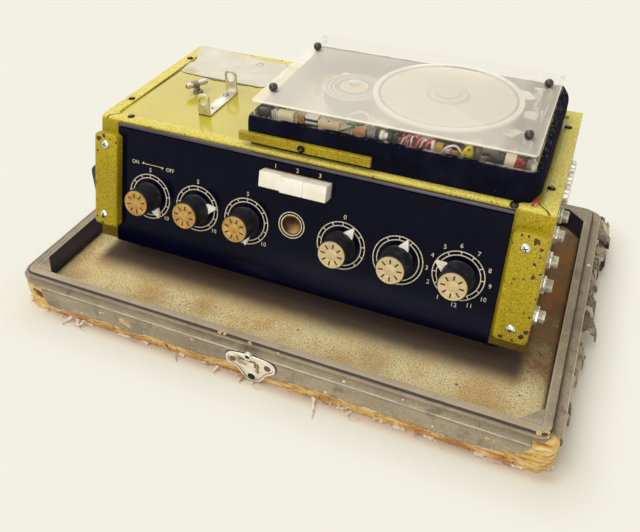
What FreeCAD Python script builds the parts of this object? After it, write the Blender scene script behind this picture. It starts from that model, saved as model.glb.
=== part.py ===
import FreeCAD, Part
import math
import os
import Sketcher

# A drum echo unit in the lower half of its carrying case. Millimetres, +Z up, the front towards -Y,
# the origin at the centre of the case's underside.

sizes = {
    # carrying case
    "caseLength": 460, "caseDepth": 302, "caseRound": 11, "skin": 1.2,
    "ledgeTop": 27.5, "ledgeWidth": 7.2, "rimTop": 33.4, "rimWidth": 8, "skinLow": 5,
    "floorThick": 10.8, "clothThick": 1.5, "boardThick": 12.8, "cornerBlock": 15.3,
    "catchHalf": 21.5, "catchTop": 28, "catchThick": 1.4, "catchHole": 1.9,
    # cabinet
    "halfWidth": 192.5, "sheet": 1.5, "footY": -75.5, "footZ": 37, "lean": 14.84,
    "frontPlane": -3, "frontFlange": 8.9, "foldRound": 4.5,
    "cabinetLow": 33.5, "cabinetTop": 142.6, "cabinetBack": 121.8, "flange": 10.5,
    "frontSeam": -35.5, "baseFront": -70.5, "baseThick": 2, "footRadius": 11, "footX": 165,
    "footFrontY": -45, "footBackY": 98,
    "screwHead": 3, "screwShank": 1.4,
    # control panel
    "panelLeft": -174, "panelRight": 164.5, "panelLow": -3, "panelHigh": 103.7, "panelThick": 3,
    "capWidth": 25.8, "capLeftWidth": 23.5, "capRise": 8, "capRound": 4,
    "knobRow": 46.7, "bushRadius": 5, "spindle": 3, "eyeX": -5.1, "eyeRow": 53.3, "eyeRadius": 8.4,
    "buttonX": -3.9, "buttonPitch": 19.7, "buttonWidth": 19.3, "buttonLow": 83.2,
    "buttonHigh": 96.5, "buttonRise": 12, "buttonPressed": 9, "buttonDepth": 28,
    "buttonGap": 0.7, "guideWall": 2.4, "guideDepth": 20,
    # knobs
    "skirtRadius": 13.2, "skirtLow": 0.6, "skirtHigh": 3.1, "knobWide": 12.6, "knobNarrow": 11.7,
    "knobHigh": 20.3, "discRadius": 11.1, "discLow": 18.8, "discHigh": 21.3,
    "pointerBase": 10, "pointerHalf": 5.5, "pointerTip": 20, "pointerLow": 0.8,
    "pointerThick": 1.8, "spindleTop": 14, "spindleDeep": 20,
    # deck, drum and drive
    "deckTop": 139.6, "deckThick": 2, "drumX": 88.5, "drumY": 43, "drumRadius": 61,
    "drumLow": 147, "drumHigh": 176.5, "rimRing": 4, "rimDrop": 0.6, "drumWall": 9,
    "bandLow": 161, "bandHigh": 174.5, "bandThick": 1.5, "shaft": 4, "runFit": 0.05,
    "runGap": 0.3, "idlerRadius": 26.6, "idlerBearing": 169.84, "idlerLow": 148,
    "idlerHigh": 160, "hubRadius": 11.7, "hubHigh": 162.5, "pin": 3, "armLow": 143,
    "armThick": 3, "pivotX": 19.5, "pivotY": 30.5, "pulleyRadius": 4, "pulleyBearing": 125,
    "pulleyLow": 146, "pulleyHigh": 158, "motorShaft": 2, "motorRadius": 24, "motorLow": 75,
    "headDeep": 11, "headWide": 14, "headTop": 171,
    # clear cover
    "coverLeft": -49.5, "coverRight": 172.2, "coverFront": -37.5, "coverBack": 112,
    "coverLow": 145.5, "coverTop": 181.5, "coverWall": 3,
    "feltLeft": -53, "feltRight": 178.5, "feltFront": -40.5, "feltBack": 116.5,
    "feltTop": 168.5, "feltRound": 15, "studRadius": 1.6, "postRadius": 3.5,
    "nutRadius": 3.7, "nutCentre": 185,
    # fittings on the sides; the inlet's face stands proud of the left side
    "jackBore": 3.25, "jackRow": 83, "lowJackRow": 57, "socketRow": 99,
    "inletRise": 19, "inletFront": -52, "inletBack": -24, "inletLow": 60, "inletHigh": 91.5,
    "inletWall": 5.5, "inletDeep": 24, "inletPin": 2,
}

knobs = [  # place along the panel, pointer angle clockwise from straight up
    (-140.1, 145), (-92.9, 75), (-45.9, 174), (38.5, 29), (85.8, 18), (133.5, -65)]
capScrews = [(-180.9, 87.5), (-182.2, 22.3), (177.1, 84.1), (179.1, 19)]
sideScrews = [(-186.5, -9.1), (-185.5, 89.9), (184.1, -11.7), (183.8, 90)]
frontScrews = [(-167, -38), (164, -38)]
flangeScrews = sideScrews + frontScrews
posts = [(-39.5, -17), (-39.5, 74), (162.2, 77), (161.7, -15.5)]
headBearings = [-120, -90, -60, -30, 0, 30]
jacks = [(45.5, "dim.jackRow"), (16.5, "dim.jackRow"), (-19.5, "dim.jackRow"),
         (-49.5, "dim.jackRow"), (-55.5, "dim.lowJackRow")]
roundSockets = [96.5, 74.5, 53.5]
valvePlaces = [-80, -45, -10, 25, 60, 95]

doc = FreeCAD.newDocument("echo_unit")
sheet = doc.addObject("Spreadsheet::Sheet", "dim")
for row, (alias, value) in enumerate(sizes.items(), 1):
    sheet.set(f"A{row}", alias)
    sheet.set(f"B{row}", str(value))
    sheet.setAlias(f"B{row}", alias)
doc.recompute()

subparts = []


# ---- helpers -------------------------------------------------------------------------------

def keep(thing, label):
    thing.Label = label
    subparts.append(thing)
    return thing


def newBody(name):
    return doc.addObject("PartDesign::Body", name)


def newSketch(owner, role, offset="0"):
    sketch = owner.newObject("Sketcher::SketchObject", owner.Name + "Outline")
    plane = next(item for item in owner.Origin.OriginFeatures if item.Role == role)
    sketch.AttachmentSupport = [(plane, "")]
    sketch.MapMode = "FlatFace"
    sketch.setExpression("AttachmentOffset.Base.z", str(offset))
    return sketch


def pin(sketch, item, end, x, y):
    """Hold one point of a sketch at two expressions, measured from the sketch's origin."""
    for kind, text in (("DistanceX", x), ("DistanceY", y)):
        index = sketch.addConstraint(Sketcher.Constraint(kind, -1, 1, item, end, 1.0))
        sketch.setExpression(f"Constraints[{index}]", text)


def outline(sketch, corners):
    """A closed outline of straight lines; each corner is a pair of expressions."""
    count = len(corners)
    first = sketch.GeometryCount
    around = [2 * math.pi * k / count for k in range(count)]
    start = [FreeCAD.Vector(math.cos(angle), math.sin(angle), 0) for angle in around]
    for k in range(count):
        sketch.addGeometry(Part.LineSegment(start[k], start[(k + 1) % count]), False)
    for k in range(count):
        follower = first + (k + 1) % count
        sketch.addConstraint(Sketcher.Constraint("Coincident", first + k, 2, follower, 1))
    for k, (x, y) in enumerate(corners):
        pin(sketch, first + k, 1, str(x), str(y))


def rectangle(sketch, left, low, right, high):
    outline(sketch, [(left, low), (right, low), (right, high), (left, high)])


def circle(sketch, x, y, radius):
    item = sketch.addGeometry(
        Part.Circle(FreeCAD.Vector(0, 0, 0), FreeCAD.Vector(0, 0, 1), 1), False)
    index = sketch.addConstraint(Sketcher.Constraint("Radius", item, 1.0))
    sketch.setExpression(f"Constraints[{index}]", str(radius))
    pin(sketch, item, 3, str(x), str(y))


def pad(owner, sketch, length):
    feature = owner.newObject("PartDesign::Pad", owner.Name + "Pad")
    feature.Profile = sketch
    feature.setExpression("Length", str(length))
    sketch.Visibility = False
    return feature


def pocket(owner, sketch, length):
    """Cut from the sketch's plane along its normal, so a cut is placed as a pad is."""
    feature = owner.newObject("PartDesign::Pocket", owner.Name + "Pocket")
    feature.Profile = sketch
    feature.Reversed = True
    feature.setExpression("Length", str(length))
    return feature


def block(owner, low, high, left, front, right, back, cut=False):
    """A rectangular pad or pocket between two heights."""
    sketch = newSketch(owner, "XY_Plane", low)
    rectangle(sketch, left, front, right, back)
    make = pocket if cut else pad
    return make(owner, sketch, f"({high}) - ({low})")


def drill(owner, low, high, places, radius):
    """Round holes through the material between two heights."""
    sketch = newSketch(owner, "XY_Plane", low)
    for x, y in places:
        circle(sketch, x, y, radius)
    return pocket(owner, sketch, f"({high}) - ({low})")


def turned(name, corners):
    """A body turned about its own Z axis from pairs of radius and height."""
    owner = newBody(name)
    sketch = newSketch(owner, "XZ_Plane")
    outline(sketch, corners)
    feature = owner.newObject("PartDesign::Revolution", name + "Turn")
    feature.Profile = sketch
    feature.ReferenceAxis = (sketch, ["V_Axis"])
    feature.Angle = 360
    return owner


def dress(owner, kind, size, chosen):
    """Fillet or chamfer the edges of the body's tip that the chosen test accepts."""
    doc.recompute()
    base = owner.Tip
    names = [f"Edge{k}" for k, edge in enumerate(base.Shape.Edges, 1) if chosen(edge)]
    feature = owner.newObject("PartDesign::" + kind, owner.Name + kind)
    feature.Base = (base, names)
    feature.setExpression("Radius" if kind == "Fillet" else "Size", size)
    return feature


def along(edge, direction):
    """True for a straight edge that runs along the direction."""
    if not isinstance(edge.Curve, Part.Line):
        return False
    return abs(edge.Curve.Direction.dot(FreeCAD.Vector(*direction))) > 0.999


def upright(edge):
    return along(edge, (0, 0, 1))


def atHeight(level, slack=0.01):
    def chosen(edge):
        box = edge.BoundBox
        return abs(box.ZMin - level) < slack and abs(box.ZMax - level) < slack
    return chosen


def place(thing, x="0", y="0", z="0"):
    for key, text in (("x", x), ("y", y), ("z", z)):
        thing.setExpression(f"Placement.Base.{key}", str(text))
    return thing


def turn(thing, axis, angle):
    """Turn a piece about one axis by an expression in degrees."""
    base = thing.Placement.Base
    thing.Placement = FreeCAD.Placement(base, FreeCAD.Rotation(FreeCAD.Vector(*axis), 1))
    thing.setExpression("Placement.Rotation.Angle", angle)
    return thing


def onPanel(thing, x="0", up="0"):
    """Stand a piece on the leaning panel: local Y runs up the panel and local Z out of it."""
    turn(thing, (1, 0, 0), "90 - dim.lean")
    return place(thing, x, f"dim.footY + ({up}) * sin(dim.lean)",
                 f"dim.footZ + ({up}) * cos(dim.lean)")


def group(name, members):
    """Several separate solids in one node."""
    bundle = doc.addObject("Part::Compound", name)
    bundle.Links = members
    return keep(bundle, name)


def number(alias):
    return float(sheet.get(alias))


# ---- carrying case -------------------------------------------------------------------------

def caseFloor():
    board = newBody("case_floor_board")
    block(board, "0", "dim.floorThick", "-dim.caseLength / 2 + dim.skin",
          "-dim.caseDepth / 2 + dim.skin", "dim.caseLength / 2 - dim.skin",
          "dim.caseDepth / 2 - dim.skin")
    dress(board, "Fillet", "dim.caseRound - dim.skin", upright)
    dress(board, "Fillet", "dim.floorThick / 2", atHeight(0))
    keep(board, "case_floor_board")

    cloth = newBody("floor_cloth")
    inner = "dim.ledgeWidth + dim.rimWidth"
    block(cloth, "dim.floorThick", "dim.floorThick + dim.clothThick",
          f"-dim.caseLength / 2 + {inner}", f"-dim.caseDepth / 2 + {inner}",
          f"dim.caseLength / 2 - ({inner})", f"dim.caseDepth / 2 - ({inner})")
    keep(cloth, "floor_cloth")


def caseBoards():
    members = []
    wallTop = "dim.ledgeTop - dim.skin"
    for side in (-1, 1):
        long = newBody("longBoard")
        near = f"{side} * (dim.caseDepth / 2 - dim.skin)"
        far = f"{side} * (dim.caseDepth / 2 - dim.skin - dim.boardThick)"
        block(long, "dim.floorThick", wallTop, "-dim.caseLength / 2 + dim.skin", near,
              "dim.caseLength / 2 - dim.skin", far)
        outside = number("caseDepth") / 2 - number("skin")
        dress(long, "Fillet", "dim.caseRound - dim.skin",
              lambda edge: upright(edge) and abs(abs(edge.CenterOfMass.y) - outside) < 0.01)
        members.append(long)
    for side in (-1, 1):
        short = newBody("shortBoard")
        near = f"{side} * (dim.caseLength / 2 - dim.skin)"
        far = f"{side} * (dim.caseLength / 2 - dim.skin - dim.boardThick)"
        reach = "dim.caseDepth / 2 - dim.skin - dim.boardThick"
        block(short, "dim.floorThick", wallTop, near, f"-({reach})", far, reach)
        members.append(short)
    group("case_boards", members)


def caseRim():
    ring = newBody("rimRing")
    outer = "dim.ledgeWidth + dim.skin"
    inner = "dim.ledgeWidth + dim.rimWidth - dim.skin"
    block(ring, "dim.ledgeTop - dim.skin", "dim.rimTop - dim.skin",
          f"-dim.caseLength / 2 + {outer}", f"-dim.caseDepth / 2 + {outer}",
          f"dim.caseLength / 2 - ({outer})", f"dim.caseDepth / 2 - ({outer})")
    dress(ring, "Fillet", "dim.caseRound - dim.skin - 2", upright)
    block(ring, "dim.ledgeTop - dim.skin", "dim.rimTop - dim.skin",
          f"-dim.caseLength / 2 + {inner}", f"-dim.caseDepth / 2 + {inner}",
          f"dim.caseLength / 2 - ({inner})", f"dim.caseDepth / 2 - ({inner})", cut=True)
    members = [ring]
    for sideX in (-1, 1):
        for sideY in (-1, 1):
            corner = newBody("cornerBlock")
            x = f"{sideX} * (dim.caseLength / 2 - dim.ledgeWidth - dim.rimWidth)"
            y = f"{sideY} * (dim.caseDepth / 2 - dim.ledgeWidth - dim.rimWidth)"
            sketch = newSketch(corner, "XY_Plane", "dim.floorThick + dim.clothThick")
            outline(sketch, [(x, y), (f"{x} - {sideX} * dim.cornerBlock", y),
                             (x, f"{y} - {sideY} * dim.cornerBlock")])
            pad(corner, sketch, "dim.rimTop - dim.floorThick - dim.clothThick")
            members.append(corner)
    group("case_rim", members)


def caseCovering():
    cover = newBody("case_covering")

    def layer(low, high, inset, cut=False, hollow=None):
        sketch = newSketch(cover, "XY_Plane", low)
        for edge in [inset] + ([hollow] if hollow else []):
            rectangle(sketch, f"-dim.caseLength / 2 + {edge}", f"-dim.caseDepth / 2 + {edge}",
                      f"dim.caseLength / 2 - ({edge})", f"dim.caseDepth / 2 - ({edge})")
        return (pocket if cut else pad)(cover, sketch, f"{high} - ({low})")

    def corners(edge):
        return upright(edge) and edge.BoundBox.ZMax < number("ledgeTop") + 0.01

    def rimCorners(edge):
        return upright(edge) and edge.BoundBox.ZMin > number("ledgeTop") - 0.01

    inside = "(dim.ledgeWidth + dim.rimWidth)"
    rimInner = "(dim.ledgeWidth + dim.rimWidth - dim.skin)"
    layer("dim.skinLow", "dim.ledgeTop", "0")
    dress(cover, "Fillet", "dim.caseRound", corners)
    layer("dim.ledgeTop", "dim.rimTop", "dim.ledgeWidth")
    dress(cover, "Fillet", "dim.caseRound - 2", rimCorners)
    layer("dim.skinLow", "dim.rimTop", inside, cut=True)
    layer("dim.skinLow", "dim.floorThick", "dim.skin", cut=True)
    layer("dim.floorThick", "dim.ledgeTop - dim.skin", "dim.skin", cut=True, hollow=rimInner)
    layer("dim.ledgeTop - dim.skin", "dim.rimTop - dim.skin", "(dim.ledgeWidth + dim.skin)",
          cut=True, hollow=rimInner)
    keep(cover, "case_covering")


def catchPlate():
    plate = newBody("catch_plate")
    sketch = newSketch(plate, "XZ_Plane", "dim.caseDepth / 2")
    outline(sketch, [("-dim.catchHalf", 14), ("-8", 7), ("-6", 1.5), ("6", 1.5), ("8", 7),
                     ("dim.catchHalf", 14), ("dim.catchHalf", 22), (10, "dim.catchTop"),
                     (-10, "dim.catchTop"), ("-dim.catchHalf", 22)])
    pad(plate, sketch, "dim.catchThick")
    dress(plate, "Fillet", "3", lambda edge: along(edge, (0, 1, 0)))
    holes = newSketch(plate, "XZ_Plane", "dim.caseDepth / 2")
    for x, z in ((-16.5, 18), (15, 18), (0, 5.2)):
        circle(holes, x, z, "dim.catchHole")
    pocket(plate, holes, "dim.catchThick")
    hook = newSketch(plate, "XZ_Plane", "dim.caseDepth / 2 + dim.catchThick")
    rectangle(hook, -9, 20, 2, "dim.catchTop + 1.5")
    pad(plate, hook, "dim.catchThick * 1.5")
    keep(plate, "catch_plate")


# ---- cabinet -------------------------------------------------------------------------------

def basePlate():
    plate = newBody("base_plate")
    inside = "dim.halfWidth - dim.sheet"
    block(plate, "dim.cabinetLow", "dim.cabinetLow + dim.baseThick", f"-({inside})",
          "dim.baseFront", inside, "dim.cabinetBack - dim.sheet")
    keep(plate, "base_plate")


def rubberFeet():
    floor = "dim.floorThick + dim.clothThick"
    members = []
    for side in (-1, 1):
        for y in ("dim.footFrontY", "dim.footBackY"):
            foot = turned("rubberFoot", [
                (0, floor), ("dim.footRadius - 1.5", floor), ("dim.footRadius", "dim.cabinetLow"),
                (0, "dim.cabinetLow")])
            members.append(place(foot, f"{side} * dim.footX", y))
    group("rubber_feet", members)


def frontFrame():
    frame = newBody("frontSheet")
    inside = "dim.halfWidth - dim.sheet"
    inner = "dim.frontPlane - dim.sheet"

    def meets(height, plane):
        """How far up the panel a plane parallel to it meets a height."""
        return f"(({height}) - dim.footZ - ({plane}) * sin(dim.lean)) / cos(dim.lean)"

    low = meets("dim.cabinetLow", "dim.frontPlane")
    high = meets("dim.cabinetTop", "dim.frontPlane")
    reachUp = f"{high} + dim.frontFlange * sin(dim.lean)"
    reachIn = "dim.frontPlane - dim.frontFlange * cos(dim.lean)"
    sketch = newSketch(frame, "YZ_Plane", f"-({inside})")
    outline(sketch, [
        (low, "dim.frontPlane"), (high, "dim.frontPlane"), (reachUp, reachIn),
        (f"{reachUp} - dim.sheet * cos(dim.lean)", f"{reachIn} - dim.sheet * sin(dim.lean)"),
        (meets("dim.cabinetTop - dim.sheet", inner), inner), (low, inner)])
    pad(frame, sketch, f"2 * ({inside})")
    dress(frame, "Fillet", "dim.foldRound",
          lambda edge: along(edge, (1, 0, 0)) and edge.CenterOfMass.y > number("panelHigh")
          and edge.CenterOfMass.z > number("frontPlane") - 0.01)
    holes = newSketch(frame, "XY_Plane", f"{inner} - 1")
    for x, angle in knobs:
        circle(holes, x, "dim.knobRow", "dim.bushRadius + 0.2")
    circle(holes, "dim.eyeX", "dim.eyeRow", "dim.eyeRadius + 0.6")
    buttonOpening(holes)
    pocket(frame, holes, "dim.sheet + 2")
    drills = []
    for x, y in frontScrews:
        drillBit = doc.addObject("Part::Cylinder", "screwDrill")
        drillBit.setExpression("Radius", "dim.screwShank + 0.1")
        drillBit.setExpression("Height", "4 * dim.sheet")
        drills.append(place(drillBit, x, y, "dim.cabinetTop - 2 * dim.sheet"))
    bits = doc.addObject("Part::Compound", "screwDrills")
    bits.Links = drills
    drilled = doc.addObject("Part::Cut", "front_frame")
    drilled.Base, drilled.Tool = onPanel(frame), bits
    keep(drilled, "front_frame")


def buttonOpening(sketch):
    half = "(1.5 * dim.buttonPitch + dim.buttonGap)"
    rectangle(sketch, f"dim.buttonX - {half}", "dim.buttonLow - dim.buttonGap",
              f"dim.buttonX + {half}", "dim.buttonHigh + dim.buttonGap")


def sidePlate(name, side):
    plate = newBody(name)
    inside = "dim.halfWidth - dim.sheet"
    offset = "-dim.halfWidth" if side < 0 else inside

    def frontAt(height):
        """Where the leaning front plane meets a height."""
        up = f"(({height}) - dim.footZ - dim.frontPlane * sin(dim.lean)) / cos(dim.lean)"
        return f"dim.footY + {up} * sin(dim.lean) - dim.frontPlane * cos(dim.lean)"

    sketch = newSketch(plate, "YZ_Plane", offset)
    outline(sketch, [
        (frontAt("dim.cabinetLow"), "dim.cabinetLow"),
        (frontAt("dim.cabinetTop"), "dim.cabinetTop"),
        ("dim.cabinetBack", "dim.cabinetTop"), ("dim.cabinetBack", "dim.cabinetLow")])
    pad(plate, sketch, "dim.sheet")
    top = number("cabinetTop")
    dress(plate, "Fillet", "dim.foldRound",
          lambda edge: along(edge, (1, 0, 0)) and edge.CenterOfMass.z > top - 0.01
          and edge.CenterOfMass.y < 0)
    edges = (f"{side} * ({inside})", f"{side} * (dim.halfWidth - dim.flange)")
    block(plate, "dim.cabinetTop - dim.sheet", "dim.cabinetTop", edges[0],
          "dim.frontSeam", edges[1], "dim.cabinetBack - dim.sheet")
    drill(plate, "dim.cabinetTop - dim.sheet", "dim.cabinetTop",
          [spot for spot in sideScrews if spot[0] * side > 0], "dim.screwShank + 0.1")
    holes = newSketch(plate, "YZ_Plane", offset)
    if side > 0:
        for y, z in jacks:
            circle(holes, y, z, "dim.jackBore + 1.75")
        for y in roundSockets:
            circle(holes, y, "dim.socketRow", 7.1)
    else:
        inletBox(holes, "dim.inletWall - 2.2")
    pocket(plate, holes, "dim.sheet")
    keep(plate, name)


def rearCover():
    cover = newBody("rear_cover")
    inside = "dim.halfWidth - dim.sheet"
    block(cover, "dim.cabinetLow", "dim.cabinetTop", f"-({inside})",
          "dim.cabinetBack - dim.sheet", inside, "dim.cabinetBack")
    reach = "dim.halfWidth - dim.flange"
    block(cover, "dim.cabinetTop - dim.sheet", "dim.cabinetTop", f"-({reach})",
          "dim.cabinetBack - dim.flange", reach, "dim.cabinetBack - dim.sheet")
    keep(cover, "rear_cover")


def topPlate():
    plate = newBody("top_plate")
    inside = "dim.halfWidth - dim.sheet"
    low = "dim.deckTop"
    high = "dim.cabinetTop - dim.sheet"
    block(plate, low, high, f"-({inside})", -40.5, inside, "dim.cabinetBack - dim.sheet")
    block(plate, low, high, "dim.coverLeft + 1.5", "dim.coverFront + 5", "dim.coverRight - 4.5",
          "dim.coverBack - 4.5", cut=True)
    drill(plate, low, high, flangeScrews, "dim.screwShank + 0.1")
    keep(plate, "top_plate")


def cabinetScrews():
    members = []
    for x, y in flangeScrews:
        screw = turned("flangeScrew", [
            (0, "dim.deckTop - 1"), ("dim.screwShank", "dim.deckTop - 1"),
            ("dim.screwShank", "dim.cabinetTop"), ("dim.screwHead", "dim.cabinetTop"),
            ("dim.screwHead * 0.8", "dim.cabinetTop + 1.5"), (0, "dim.cabinetTop + 1.9")])
        members.append(place(screw, x, y))
    group("cabinet_screws", members)


def controlPanel():
    panel = newBody("control_panel")
    block(panel, "-dim.panelThick", "0", "dim.panelLeft", "dim.panelLow", "dim.panelRight",
          "dim.panelHigh")
    dress(panel, "Chamfer", "0.6", atHeight(0))
    holes = newSketch(panel, "XY_Plane", "-dim.panelThick")
    for x, angle in knobs:
        circle(holes, x, "dim.knobRow", "dim.bushRadius + 0.2")
    circle(holes, "dim.eyeX", "dim.eyeRow", "dim.eyeRadius + 0.2")
    buttonOpening(holes)
    pocket(panel, holes, "dim.panelThick")
    keep(onPanel(panel), "control_panel")


def endCaps():
    members = []
    for side, width, low, high in ((-1, "dim.capLeftWidth", 12, 97), (1, "dim.capWidth", 8, 95.5)):
        cap = newBody("endCap")
        block(cap, "dim.frontPlane", "dim.capRise", f"{side} * dim.halfWidth", low,
              f"{side} * (dim.halfWidth - {width})", high)
        dress(cap, "Fillet", "dim.capRound", upright)
        dress(cap, "Fillet", "2", atHeight(number("capRise")))
        if side < 0:
            block(cap, "dim.frontPlane", "0", "dim.panelLeft - 0.3", low - 1,
                  "dim.panelLeft + 10", high + 1, cut=True)
        drill(cap, "dim.frontPlane", "dim.capRise",
              [spot for spot in capScrews if spot[0] * side > 0], 2.1)
        members.append(onPanel(cap))
    group("end_caps", members)

    screws = []
    for x, up in capScrews:
        screw = turned("capScrew", [
            (0, "dim.frontPlane"), (2, "dim.frontPlane"), (2, "dim.capRise"),
            (3.9, "dim.capRise"), (2.9, "dim.capRise + 1.5"), (0, "dim.capRise + 2")])
        screws.append(onPanel(screw, x, up))
    group("end_cap_screws", screws)


def uBracket():
    bracket = newBody("u_bracket")
    low = "dim.cabinetTop - dim.sheet"
    block(bracket, low, "dim.cabinetTop", -116.5, -10.5, -105, 40)
    for y, top in ((-10.5, 161.5), (38.5, 163)):
        block(bracket, low, top, -116.5, y, -105, y + 1.5)
    dress(bracket, "Fillet", "5",
          lambda edge: along(edge, (0, 1, 0)) and edge.CenterOfMass.z > 160)
    hole = newSketch(bracket, "XZ_Plane", 0)
    circle(hole, -110.7, 155.7, 4.25)
    pocket(bracket, hole, 12)
    keep(bracket, "u_bracket")


def earthPost():
    low = "dim.cabinetTop - dim.sheet"
    post = turned("earth_post", [(0, low), (4.6, low), (4.6, f"{low} + 3"), (2.2, f"{low} + 3.4"),
                                 (2.2, f"{low} + 9"), (0, f"{low} + 9")])
    rod = newSketch(post, "XZ_Plane", -11)
    circle(rod, 0, f"{low} + 8.2", 2.6)
    pad(post, rod, 21)
    turn(post, (0, 0, 1), "-30")
    keep(place(post, -140.5, 29), "earth_post")


# ---- side fittings -------------------------------------------------------------------------

def inletBox(sketch, inset):
    """The inlet's rectangle, drawn in from the edge of its face."""
    rectangle(sketch, f"dim.inletFront + {inset}", f"dim.inletLow + {inset}",
              f"dim.inletBack - ({inset})", f"dim.inletHigh - 5 - ({inset})")


def mainsInlet():
    inlet = newBody("mains_inlet")
    face = "-dim.halfWidth - dim.inletRise"
    sketch = newSketch(inlet, "YZ_Plane", face)
    rectangle(sketch, "dim.inletFront", "dim.inletLow", "dim.inletBack", "dim.inletHigh")
    pad(inlet, sketch, "dim.inletRise")
    top = number("inletHigh")
    outer = -number("halfWidth") - number("inletRise")
    dress(inlet, "Fillet", "9",
          lambda edge: along(edge, (0, 1, 0)) and edge.CenterOfMass.z > top - 0.01
          and edge.CenterOfMass.x < outer + 0.01)
    dress(inlet, "Fillet", "2", upright)
    back = newSketch(inlet, "YZ_Plane", "-dim.halfWidth")
    inletBox(back, "dim.inletWall - 2")
    pad(inlet, back, "dim.inletDeep - dim.inletRise + 2")
    recess = newSketch(inlet, "YZ_Plane", face)
    inletBox(recess, "dim.inletWall")
    pocket(inlet, recess, "dim.inletDeep")
    pins = newSketch(inlet, "YZ_Plane", f"{face} + 13")
    for height in (69, 78):
        circle(pins, "(dim.inletFront + dim.inletBack) / 2", height, "dim.inletPin")
    pad(inlet, pins, "dim.inletDeep - 13")
    keep(inlet, "mains_inlet")


def sockets():
    members = []
    for y, z in jacks:
        jack = turned("jackSocket", [
            ("dim.jackBore", -24), (8, -24), (8, "-dim.sheet"),
            ("dim.jackBore + 1.65", "-dim.sheet"), ("dim.jackBore + 1.65", 0), (7.2, 0),
            (7.2, 3), (5.3, 3.6), (5.3, 8), ("dim.jackBore", 8)])
        turn(jack, (0, 1, 0), "90")
        members.append(place(jack, "dim.halfWidth", y, z))
    group("jack_sockets", members)

    rounds = []
    for y in roundSockets:
        din = turned("roundSocket", [
            (0, -14), (7, -14), (7, 0), (8.6, 0), (8.6, 3.5), (7.6, 4.5), (6.4, 4.5), (6.4, 1.5),
            (0, 1.5)])
        turn(din, (0, 1, 0), "90")
        rounds.append(place(din, "dim.halfWidth", y, "dim.socketRow"))
    group("din_sockets", rounds)


# ---- controls ------------------------------------------------------------------------------

def knob(index, x, angle):
    """A skirted knob with a triangular pointer, the spindle it is fixed to and its bright disc."""
    name = f"knob_{index}"
    moulding = turned(name + "_moulding", [
        ("dim.spindle", "dim.skirtLow"), ("dim.skirtRadius", "dim.skirtLow"),
        ("dim.skirtRadius", "dim.skirtHigh"), ("dim.knobWide", "dim.skirtHigh"),
        ("dim.knobNarrow", "dim.knobHigh"), ("dim.discRadius", "dim.knobHigh"),
        ("dim.discRadius", "dim.discLow"), (0, "dim.discLow"), (0, "dim.spindleTop"),
        ("dim.spindle", "dim.spindleTop")])

    def polar(out, across):
        return (f"{out} * sin({angle}) + {across} * cos({angle})",
                f"{out} * cos({angle}) - {across} * sin({angle})")

    sketch = newSketch(moulding, "XY_Plane", "dim.pointerLow")
    outline(sketch, [polar("dim.pointerBase", "dim.pointerHalf"), polar("dim.pointerTip", "0.8"),
                     polar("dim.pointerTip", "-0.8"),
                     polar("dim.pointerBase", "-dim.pointerHalf")])
    pad(moulding, sketch, "dim.pointerThick")
    onPanel(moulding, x, "dim.knobRow")
    spindle = turned(name + "_spindle", [
        (0, "-dim.spindleDeep"), ("dim.spindle", "-dim.spindleDeep"),
        ("dim.spindle", "dim.spindleTop"), (0, "dim.spindleTop")])
    onPanel(spindle, x, "dim.knobRow")
    group(name, [moulding, spindle])

    disc = turned(f"knob_cap_{index}", [
        (0, "dim.discLow"), ("dim.discRadius", "dim.discLow"),
        ("dim.discRadius", "dim.discHigh - 0.4"), ("dim.discRadius - 0.4", "dim.discHigh"),
        (0, "dim.discHigh")])
    keep(onPanel(disc, x, "dim.knobRow"), f"knob_cap_{index}")


def controlPots():
    members = []
    for x, angle in knobs:
        pot = turned("controlPot", [
            (0, "dim.frontPlane - 25"), (12, "dim.frontPlane - 25"),
            (12, "dim.frontPlane - dim.sheet"), ("dim.bushRadius", "dim.frontPlane - dim.sheet"),
            ("dim.bushRadius", 0.3), ("dim.spindle + dim.runFit", 0.3),
            ("dim.spindle + dim.runFit", "-dim.spindleDeep - 1"), (0, "-dim.spindleDeep - 1")])
        members.append(onPanel(pot, x, "dim.knobRow"))
    group("control_pots", members)


def pushButtons():
    for index in (1, 2, 3):
        button = newBody(f"push_button_{index}")
        face = "dim.buttonPressed" if index == 1 else "dim.buttonRise"
        middle = f"dim.buttonX + {index - 2} * dim.buttonPitch"
        block(button, f"{face} - dim.buttonDepth", face, f"{middle} - dim.buttonWidth / 2",
              "dim.buttonLow", f"{middle} + dim.buttonWidth / 2", "dim.buttonHigh")
        dress(button, "Chamfer", "1.6", atHeight(number(face[4:])))
        keep(onPanel(button), f"push_button_{index}")


def buttonFrame():
    frame = newBody("button_frame")
    half = "(1.5 * dim.buttonPitch + dim.buttonGap)"
    top = "dim.frontPlane - dim.sheet"
    block(frame, f"{top} - dim.guideDepth", top,
          f"dim.buttonX - {half} - dim.guideWall", "dim.buttonLow - dim.buttonGap - dim.guideWall",
          f"dim.buttonX + {half} + dim.guideWall",
          "dim.buttonHigh + dim.buttonGap + dim.guideWall")
    cavity = newSketch(frame, "XY_Plane", f"{top} - dim.guideDepth + 2")
    buttonOpening(cavity)
    pocket(frame, cavity, "dim.guideDepth")
    keep(onPanel(frame), "button_frame")


def magicEye():
    eye = turned("magic_eye", [
        (0, -46), (6, -46), ("dim.eyeRadius", -42), ("dim.eyeRadius", "-0.6"),
        ("dim.eyeRadius - 0.8", "0.2"), (0, "0.5")])
    keep(onPanel(eye, "dim.eyeX", "dim.eyeRow"), "magic_eye")


# ---- deck, drum and drive ------------------------------------------------------------------

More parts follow.
